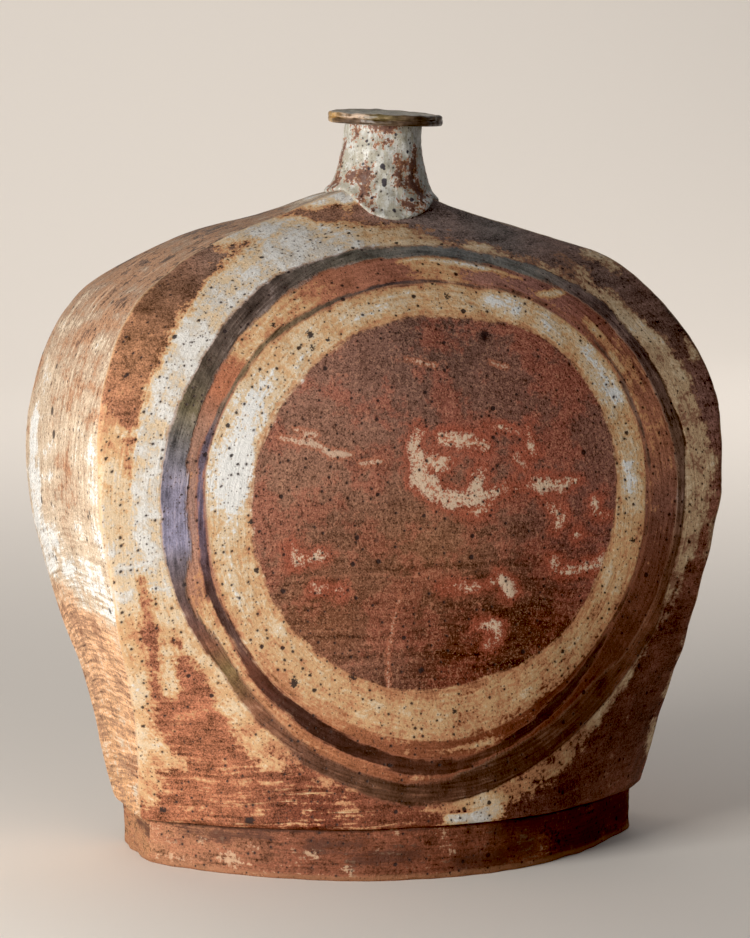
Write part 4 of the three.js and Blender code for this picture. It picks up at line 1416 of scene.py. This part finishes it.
def iron_specks(paint, colour, size=1.0):
    """Iron spots melted through from the clay, in three sizes, the middle ones ringed with brown, and
    how far they reach."""
    fine = paint.spots(2.1 * size, 0.34, 0.32 * size, 0.35)
    middle = paint.spots(4.4 * size, 0.26, 0.5 * size, 0.35)
    large = paint.spots(13.0, 0.22, 0.95 * size, 0.45)
    halo = paint.spots(4.4 * size, 0.26, 0.85 * size, 1.0)
    colour = paint.mix(halo * 0.35, colour, UMBER)
    colour = paint.mix(fine * 0.72, colour, FINE_SPECK)
    spotted = (middle * 0.95 + large).clamped()
    return paint.mix(spotted * 0.94, colour, SPECK), (spotted + fine * 0.6).clamped()


def worn_edge(paint, colour, under):
    """The colour that shows where a ridge is rubbed through its glaze."""
    worn = paint.field("ridge_wear") + paint.blot.swing(4) + paint.tooth.swing(2)
    return paint.mix(paint.rise(worn, 0.2, 1.0) * 0.5, colour, under)


def face_ground(paint, stroke):
    """Bare clay and the loose outer ring of glaze on it, with lines scraped across. Its thin glaze's tan
    and ochre darken towards the right (+x) as painted shade.
    """
    blot, tooth, grit, cloud = paint.blot, paint.tooth, paint.grit, paint.cloud
    x, y, z = paint.parts(paint.place)
    level = z - x * 0.07 + cloud * 7
    fibre = paint.noise(paint.join(x * 0.022, y * 0.03, level * 0.42), 1, 4, 0.6)
    scrape = paint.noise(paint.join(x * 0.014, y * 0.014, level * 0.5), 1, 4, 0.75)
    drawn = paint.field("scraped")
    mottle = grit.swing(1.7) + tooth.swing(1.2) + blot.swing(2.2) + fibre.swing(drawn + 1.3) + 1
    base = paint.shade(paint.tone("ground_tone"), mottle)
    scraped = paint.rise(scrape, 0.59, 0.66) * drawn
    thin = blot.swing(1.3) + tooth.swing(0.9) + fibre.swing(drawn * 1.2 + 0.3) + scraped * 0.35 - 0.02
    thin = thin + (drawn - 0.6) * 0.14 + 0.1 * (1 - paint.rise(x, -148, -120))
    lift = blot.swing(1.0) + cloud.swing(0.8) + tooth.swing(0.5) + stroke.swing(0.4)
    edge = paint.field("ground_edge") + blot.swing(7) + stroke.swing(4) + tooth.swing(3)
    cover = paint.rise(edge + fibre.swing(4), -6.0, 3.0)
    thickness = thin + (paint.field("ground_glaze") + lift - thin) * cover
    # Painted shade: the thin glaze's tan and ochre darken towards the right (+x) and the top
    painted_shade = paint.rise(x + z * 0.3, 60, 160)
    stages = (paint.mix(painted_shade, TAN, PAINTED_SHADE_TAN), paint.mix(painted_shade, OCHRE, PAINTED_SHADE_OCHRE), CREAM, CHALK)
    colour = glazed(paint, base, thickness, stages)
    pooled = paint.rise(thickness + blot.swing(0.8), 0.84, 1.02)
    colour = paint.mix(pooled * 0.7, colour, WHITE)
    return paint.shade(colour, grit.swing(0.5) + 1), scraped


def face_disc(paint):
    """The disc's dusty red clay: sandy, warmer in clouds, streaked low down, and broken by pale patches
    and scratches."""
    blot, tooth, grit = paint.blot, paint.tooth, paint.grit
    x, _, z = paint.parts(paint.place)
    level = z + paint.cloud * 12
    grain = paint.noise(paint.join(x * 0.013, 0.0, level * 0.3), 1, 4, 0.6)
    low = 1 - paint.rise(z, 130, 235)
    sand = grit.swing(1.7) + tooth.swing(1.3) + blot.swing(0.9) + grain.swing(low * 1.9 + 0.6) + 0.96
    colour = paint.shade(paint.tone("disc_tone"), sand)
    warm = paint.rise(blot + paint.cloud.swing(0.9) + tooth.swing(0.3), 0.46, 0.62)
    colour = paint.mix(warm * (0.5 - low * 0.15), colour, paint.shade(DISC_BRICK, sand))
    glint = paint.rise(grit + tooth.swing(0.7) + blot.swing(0.3), 0.58, 0.7)
    colour = paint.mix(glint * 0.4, colour, DISC_SAND)
    patch = paint.field("patch") + blot.swing(12) + tooth.swing(8) + grit.swing(5)
    pits = 1 - paint.rise(grit + tooth.swing(0.5), 0.28, 0.38)
    colour = paint.mix(pits * 0.55, colour, DISC_PIT)
    halo = paint.rise(patch, -8, -0.5)
    colour = paint.mix(halo * 0.75, colour, paint.shade(PATCH_HALO, grit.swing(1.2) + 1))
    thickness = paint.field("patch_glaze") + blot.swing(1.4) + tooth.swing(1.8) + grit.swing(1.0)
    pale = paint.mix(paint.rise(thickness, 0.3, 0.52), PATCH_THIN, PATCH_MIDDLE)
    pale = paint.mix(paint.rise(thickness, 0.5, 0.68), pale, PATCH_THICK)
    colour = paint.mix(paint.rise(patch, -1.6, 1.8), colour, pale)
    scratch = paint.field("scratch") + tooth.swing(3.5) + grit.swing(3)
    colour = paint.mix(paint.rise(scratch, -2.2, -0.2) * 0.7, colour, SCRATCH_EDGE)
    return paint.mix(paint.rise(scratch, -0.4, 0.7) * 0.85, colour, SCRATCH_CLAY)


def face_paint():
    """The painted faces. Rings and patches come as fields of signed distance in millimetres, which
    noise frays a little, and brush noise runs round the rings."""
    paint = Paint("face_slip")
    blot, tooth, grit = paint.blot, paint.tooth, paint.grit
    x, _, z = paint.parts(paint.place)
    right, up = x - RING_X, z - RING_Z
    reach = (right * right + up * up) ** 0.5
    across, along = right / reach, up / reach
    stroke = paint.noise(paint.join(across * 5, reach * 0.6, along * 5), 1, 3, 0.6)
    sweep = paint.noise(paint.join(across * 2.4, reach * 0.16, along * 2.4), 1, 2)
    colour, scraped = face_ground(paint, stroke)

    smooth = blot.swing(3.5) + sweep.swing(5) + tooth.swing(1.4)
    dark_outside = paint.field("dark_outside") + smooth
    dark_inside = paint.field("dark_inside") + smooth + stroke.swing(3)
    band_tone = grit.swing(1.2) + stroke.swing(1.2) + blot.swing(1.3) + tooth.swing(0.6) + 1
    band_lift = blot.swing(1.0) + stroke.swing(0.6) + sweep.swing(0.4) + tooth.swing(0.7)
    band_base = paint.shade(paint.tone("band_tone"), band_tone)
    band = glazed(paint, band_base, paint.field("band_glaze") + band_lift)
    colour = paint.mix(1 - paint.rise(dark_inside, -0.8, 0.8), colour, band)
    dark = (1 - paint.rise(dark_outside, -0.5, 0.5)) * paint.rise(dark_inside, -1.0, 1.0)
    rusty_edge = (1 - paint.rise(dark_outside, 0.2, 1.5)) * paint.rise(dark_inside, -1.6, -0.4)
    colour = paint.mix(rusty_edge * 0.6, colour, RUSTY_EDGE)
    flow = blot.swing(2.4) + stroke.swing(2.4) + grit.swing(0.8) + 1
    bare_streak = paint.rise(stroke + blot.swing(0.9), 0.6, 0.72)
    colour = paint.mix(dark * (1 - bare_streak * 0.25), colour, paint.shade(paint.tone("dark_tone"), flow))

    cream = 1 - paint.rise(paint.field("cream_outside") + smooth * 0.6, -0.7, 0.7)
    cream_lift = blot.swing(0.8) + sweep.swing(0.3) + stroke.swing(0.5) + tooth.swing(0.7)
    cream_colour = glazed(paint, paint.tone("band_tone"), paint.field("cream_glaze") + cream_lift)
    colour = paint.mix(cream, colour, paint.shade(cream_colour, grit.swing(0.4) + 1))

    line = paint.field("line") + blot.swing(3.5) + sweep.swing(2.5) + stroke.swing(4) + tooth.swing(1)
    colour = paint.mix((1 - paint.rise(line, 0, 1.1)) * 0.6, colour, RUST)
    line_colour = paint.shade(paint.tone("line_tone"), flow)
    colour = paint.mix((1 - paint.rise(line, -1.0, 0.6)) * 0.92, colour, line_colour)

    disc_edge = paint.field("disc") + blot.swing(6) + stroke.swing(4) + tooth.swing(2.4)
    disc = 1 - paint.rise(disc_edge, -1.0, 0.9)
    fringe = 1 - paint.rise(disc_edge + tooth.swing(7) + grit.swing(4), -0.5, 3.4)
    colour = paint.mix(fringe * 0.6, colour, TAN)
    colour = paint.mix(disc, colour, face_disc(paint))

    colour, spotted = iron_specks(paint, colour)
    spot = paint.rise(paint.field("spot") + blot.swing(5) + tooth.swing(5) + grit.swing(3), -0.5, 0.5)
    colour = paint.mix(spot * 0.95, colour, SPECK)
    colour = worn_edge(paint, colour, OCHRE)
    colour = paint.mix(paint.field("skin"), BARE_CLAY, colour)

    roughness = 0.62 - dark * 0.2 - cream * (1 - disc) * 0.1 + blot.swing(0.3)
    height = tooth * 0.6 + stroke * 0.6 + blot * (dark * 1.6 + 1.4) + grit * 0.25
    height = height - spotted * 0.4 - scraped * 0.3
    glass = (dark * 0.8 + cream * (1 - disc) * 0.25) * paint.rise(z - x, 120, 330)
    return paint.finish(colour, roughness, height, 0.45, glass)


def side_paint():
    """The side strips: glaze drawn along them high up and across them low down, white where it
    pooled."""
    paint = Paint("side_slip")
    blot, tooth, grit = paint.blot, paint.tooth, paint.grit
    x, y, _ = paint.parts(paint.place)
    level = paint.up + y * 0.16 + paint.cloud * 4
    drawn_across = paint.noise(paint.join(y * 0.03, x * 0.006, level * 0.45), 1, 4, 0.7)
    beside = paint.across * 0.3 + blot * 2
    drawn_up = paint.noise(paint.join(beside, paint.up * 0.03, paint.cloud * 3), 1, 4, 0.6)
    high = paint.rise(paint.up + paint.cloud * 60, 150, 250)
    streak = drawn_across + (drawn_up - drawn_across) * high
    drag = paint.noise(paint.join(y * 0.02, x * 0.006 + 5, level * 0.07), 1, 3)
    scrape = paint.rise(streak + drag.swing(0.4), 0.58, 0.68)
    lift = streak.swing(0.8 - high * 0.3) + drag.swing(0.9) + blot.swing(0.9) + tooth.swing(0.5)
    thickness = paint.field("glaze") + lift
    sand = grit.swing(1.4) + streak.swing(2.0) + blot.swing(1.1) + 1
    base = paint.shade(paint.tone("ground_tone"), sand)
    stages = (SIDE_TAN, paint.tone("ochre_tone"), SIDE_CREAM, WHITE)
    colour = glazed(paint, base, thickness, stages)
    colour = paint.mix(scrape * 0.35, colour, SIDE_SCRAPE)
    drawn = streak.swing(2.2 - high * 1.3)
    colour = paint.shade(colour, grit.swing(1.3) + drawn + tooth.swing(0.4) + 0.98)
    colour, spotted = iron_specks(paint, colour, 0.8)
    spot = paint.rise(paint.field("spot") + tooth.swing(2.5), -0.5, 0.5)
    colour = paint.mix(spot * 0.85, colour, SPECK)
    colour = worn_edge(paint, colour, SIDE_WORN)
    colour = paint.mix(paint.field("skin"), BARE_CLAY, colour)
    height = tooth * 0.6 + streak * 1.2 + blot * 1.1 + grit * 0.3 - spotted * 0.4
    return paint.finish(colour, 0.6 + blot.swing(0.3), height, 0.45)


def foot_paint():
    """The foot band: bare brown clay with red, ashen and smoky streaks along it and flecks of glaze,
    darkest in the seam under the body, with dark slip there and painted shadow under the body's overhang,
    and rubbed pale at the bottom."""
    paint = Paint("foot_clay")
    blot, tooth, grit = paint.blot, paint.tooth, paint.grit
    streak = paint.noise(paint.join(paint.across * 0.035, paint.up * 0.5, 3.0), 1, 4, 0.7)
    sand = grit.swing(1.2) + streak.swing(2.2) + blot.swing(2.2) + tooth.swing(1.8) + 1.04
    colour = paint.shade(paint.tone("ground_tone"), sand)
    ember = paint.rise(blot + streak.swing(1.4) + tooth.swing(0.4), 0.48, 0.62)
    colour = paint.mix(ember * 0.6, colour, paint.shade(FOOT_EMBER, grit.swing(1.5) + 1))
    ash = paint.rise(streak + blot.swing(1.2) + tooth.swing(0.7), 0.66, 0.8)
    colour = paint.mix(ash * 0.7, colour, FOOT_ASH)
    smoke = paint.field("smoke") + 1 + streak.swing(26) + blot.swing(26) + tooth.swing(10)
    colour = paint.mix(paint.rise(smoke, -4.0, 2.0) * 0.8, colour, FOOT_SOOT)
    # Painted shadow, over some dark slip, along the top of the band under the body's overhang
    seam = paint.rise(paint.field("under_top") + blot.swing(3), 2.6, 1.0)
    colour = paint.mix(seam * 0.75, colour, FOOT_SEAM_SHADE)
    fleck = paint.field("fleck") + blot.swing(12) + tooth.swing(12) + streak.swing(6)
    colour = paint.mix(paint.rise(fleck, -1.2, 1.2) * 0.8, colour, FOOT_FLECK)
    low = 1 - paint.rise(paint.up + streak.swing(4), 2.0, 4.4)
    colour = paint.mix(low * 0.6, colour, FOOT_RUBBED)
    colour, spotted = iron_specks(paint, colour)
    colour = paint.mix(paint.field("skin"), BARE_CLAY, colour)
    height = tooth * 0.9 + streak * 1.8 + blot * 1.0 + grit * 0.5 - spotted * 0.4
    return paint.finish(colour, 0.72 + blot.swing(0.2), height, 0.5)


def neck_paint():
    """The neck: grey white glaze that runs down in drips, broken by clusters of rust."""
    paint = Paint("neck_slip")
    tooth, grit = paint.tooth, paint.grit
    blot = paint.noise(paint.place, 6, 4, 0.65)
    drip = paint.noise(paint.join(paint.across * 0.3, paint.up * 0.05, 0.0), 1, 3, 0.6)
    white = paint.rise(blot + drip.swing(0.8), 0.4, 0.62)
    colour = paint.mix(white, NECK_GREY, NECK_WHITE)
    thin = paint.rise(drip + blot.swing(0.5) + tooth.swing(0.5), 0.56, 0.72)
    colour = paint.mix(thin * 0.5, colour, NECK_THIN)
    colour = paint.shade(colour, grit.swing(0.4) + tooth.swing(0.2) + 0.92)
    rust = paint.field("rust") + 0.7 + blot.swing(10) + tooth.swing(18) + drip.swing(8) + grit.swing(6)
    rust_colour = paint.mix(paint.rise(rust, -0.5, 3.0), NECK_RUST_EDGE, NECK_RUST_HEART)
    rust_colour = paint.shade(rust_colour, tooth.swing(1.6) + grit.swing(1.2) + 1)
    colour = paint.mix(paint.rise(rust, -0.9, 0.9) * 0.9, colour, rust_colour)
    colour, spotted = iron_specks(paint, colour, 0.72)
    spot = paint.rise(paint.field("spot") + tooth.swing(1.2), -0.25, 0.25)
    colour = paint.mix(spot * 0.95, colour, NECK_SPECK)
    colour = paint.mix(paint.field("skin"), BARE_CLAY, colour)
    height = tooth * 0.4 + drip * 0.8 + blot * 0.5 + grit * 0.15 - spotted * 0.3
    return paint.finish(colour, 0.45 + blot.swing(0.25), height, 0.35, white * 0.4)


def rim_paint():
    """The rim: a glossy olive and ochre ash glaze, darkest at the front of its edge, partly where the
    glaze broke over it and partly in painted shade on the lower roll, with a painted highlight at the
    front left.
    """
    paint = Paint("rim_ash")
    x, y, _ = paint.parts(paint.place)
    tooth = paint.tooth
    blot = paint.noise(paint.place, 5, 4, 0.65)
    lap = paint.noise(paint.join(x * 0.12, y * 0.12, paint.up * 0.8), 1, 3, 0.6)
    sheen = lap.swing(2.4) + blot.swing(2.0) + tooth.swing(0.8) + 1
    colour = paint.shade(paint.tone("rim_tone"), sheen)
    # Painted highlight on the upper roll at the front left
    pale = paint.rise(lap + blot.swing(0.8) + paint.field("pale") * 0.16, 0.58, 0.7) * paint.field("pale")
    colour = paint.mix(pale * 0.8, colour, RIM_PAINTED_HIGHLIGHT)
    colour = paint.mix(paint.field("skin"), BARE_CLAY, colour)
    height = tooth * 0.4 + lap * 1.6 + blot * 1.0
    return paint.finish(colour, 0.4 + blot.swing(0.2), height, 0.45, paint.field("skin") * 0.45)


def clay_paint():
    """Unglazed clay inside, pressed by fingers and speckled with grog."""
    paint = Paint("bare_clay")
    colour = paint.mix(paint.rise(paint.blot, 0.4, 0.62), BARE_CLAY, SHADED_CLAY)
    colour = paint.shade(colour, paint.grit.swing(0.6) + paint.tooth.swing(0.5) + 1)
    colour = paint.mix(paint.rise(paint.tooth, 0.66, 0.72) * 0.8, colour, UMBER)
    height = paint.tooth * 0.8 + paint.blot * 1.2 + paint.grit * 0.3
    return paint.finish(colour, 0.85, height, 0.4)


def paper(name, colour):
    """A plain, dull material."""
    material = bpy.data.materials.new(name)
    material.use_nodes = True
    shader = material.node_tree.nodes["Principled BSDF"]
    shader.inputs["Base Color"].default_value = (*colour, 1)
    shader.inputs["Roughness"].default_value = 0.9
    return material


def dress(piece, node, material):
    """Puts a piece in the place of its node, with its material."""
    piece.data.materials.append(material)
    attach(piece, "root")
    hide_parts(node)


def dress_vase():
    """Puts the visible pieces in the places of their nodes. The floor and the coils inside keep their
    nodes' shapes, in bare clay."""
    slabs, skin = body_slabs()
    face, side, foot, bare = face_paint(), side_paint(), foot_paint(), clay_paint()
    for name in ("front_slab", "back_slab"):
        dress(slabs[name], name, face)
    for name in ("left_side_strip", "right_side_strip"):
        dress(slabs[name], name, side)
    for name, piece in foot_strips().items():
        dress(piece, name, foot)
    dress(neck_collar(skin), "neck_collar", neck_paint())
    dress(rim_flange(), "rim_flange", rim_paint())
    for name in PLAIN_NODES:
        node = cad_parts[name]
        node.data.materials.clear()
        node.data.materials.append(bare)


def add_camera():
    """The camera of the photograph."""
    data = bpy.data.cameras.new("camera")
    data.sensor_fit = "VERTICAL"
    data.sensor_height = 36
    data.lens = CAMERA_LENS
    data.clip_end = 20
    camera = bpy.data.objects.new("camera", data)
    bpy.context.scene.collection.objects.link(camera)
    look = Vector((math.sin(CAMERA_TURN) * math.cos(CAMERA_DIP),
                   math.cos(CAMERA_TURN) * math.cos(CAMERA_DIP), -math.sin(CAMERA_DIP)))
    camera.rotation_euler = look.to_track_quat("-Z", "Y").to_euler()
    camera.location = Vector(CAMERA_PLACE) * MM
    bpy.context.scene.camera = camera


def add_light(name, place, target, size, power, colour):
    """A soft area light at a place, turned to a target, both in metres."""
    data = bpy.data.lights.new(name, "AREA")
    data.shape = "RECTANGLE"
    data.size, data.size_y = size
    data.energy = power
    data.color = colour
    light = bpy.data.objects.new(name, data)
    bpy.context.scene.collection.objects.link(light)
    light.location = place
    light.visible_camera = False
    light.rotation_euler = (Vector(target) - Vector(place)).to_track_quat("-Z", "Y").to_euler()


def add_stage():
    """Pale floor that curves up into a backdrop: a profile in y and z carried along x."""
    bend = np.linspace(0, math.pi / 2, 48)
    wall = STAGE_BEND_START + STAGE_BEND_RADIUS
    y = np.concatenate([[STAGE_FRONT], STAGE_BEND_START + STAGE_BEND_RADIUS * np.sin(bend), [wall]])
    z = np.concatenate([[0], STAGE_BEND_RADIUS * (1 - np.cos(bend)), [STAGE_TOP]])
    left = np.stack([np.full(len(y), -STAGE_HALF_WIDTH), y, z], -1)
    points = np.concatenate([left, left * (-1, 1, 1)])
    count = len(y)
    faces = [[i, count + i, count + i + 1, i + 1] for i in range(count - 1)]
    floor = make_mesh("backdrop", points, faces)
    floor.data.materials.append(paper("paper", PAPER))


def add_room():
    """Faint even light from all round."""
    world = bpy.data.worlds.new("room")
    world.use_nodes = True
    background = world.node_tree.nodes["Background"]
    background.inputs["Color"].default_value = (0.9, 0.93, 1.0, 1)
    background.inputs["Strength"].default_value = 0.16
    bpy.context.scene.world = world


def set_view():
    """Plain colours, with slightly deeper blacks."""
    view = bpy.context.scene.view_settings
    view.view_transform = "Standard"
    view.use_curve_mapping = True
    view.curve_mapping.black_level = (0.018, 0.018, 0.018)
    view.curve_mapping.update()


dress_vase()
add_camera()
add_stage()
add_light("window", place=(-0.95, -0.5, 0.38), target=(0, 0, 0.2), size=(0.55, 0.7), power=15.5,
          colour=(1.0, 0.96, 0.9))
add_light("wall_wash", place=(0.9, 1.55, 1.9), target=(1.1, 2.5, 0.1), size=(3.6, 0.6), power=50,
          colour=(1.0, 0.94, 0.88))
add_light("fill", place=(0.6, -2.4, 0.8), target=(0, 0, 0.2), size=(2.0, 2.0), power=3.6,
          colour=(0.95, 0.97, 1.0))
add_room()
set_view()
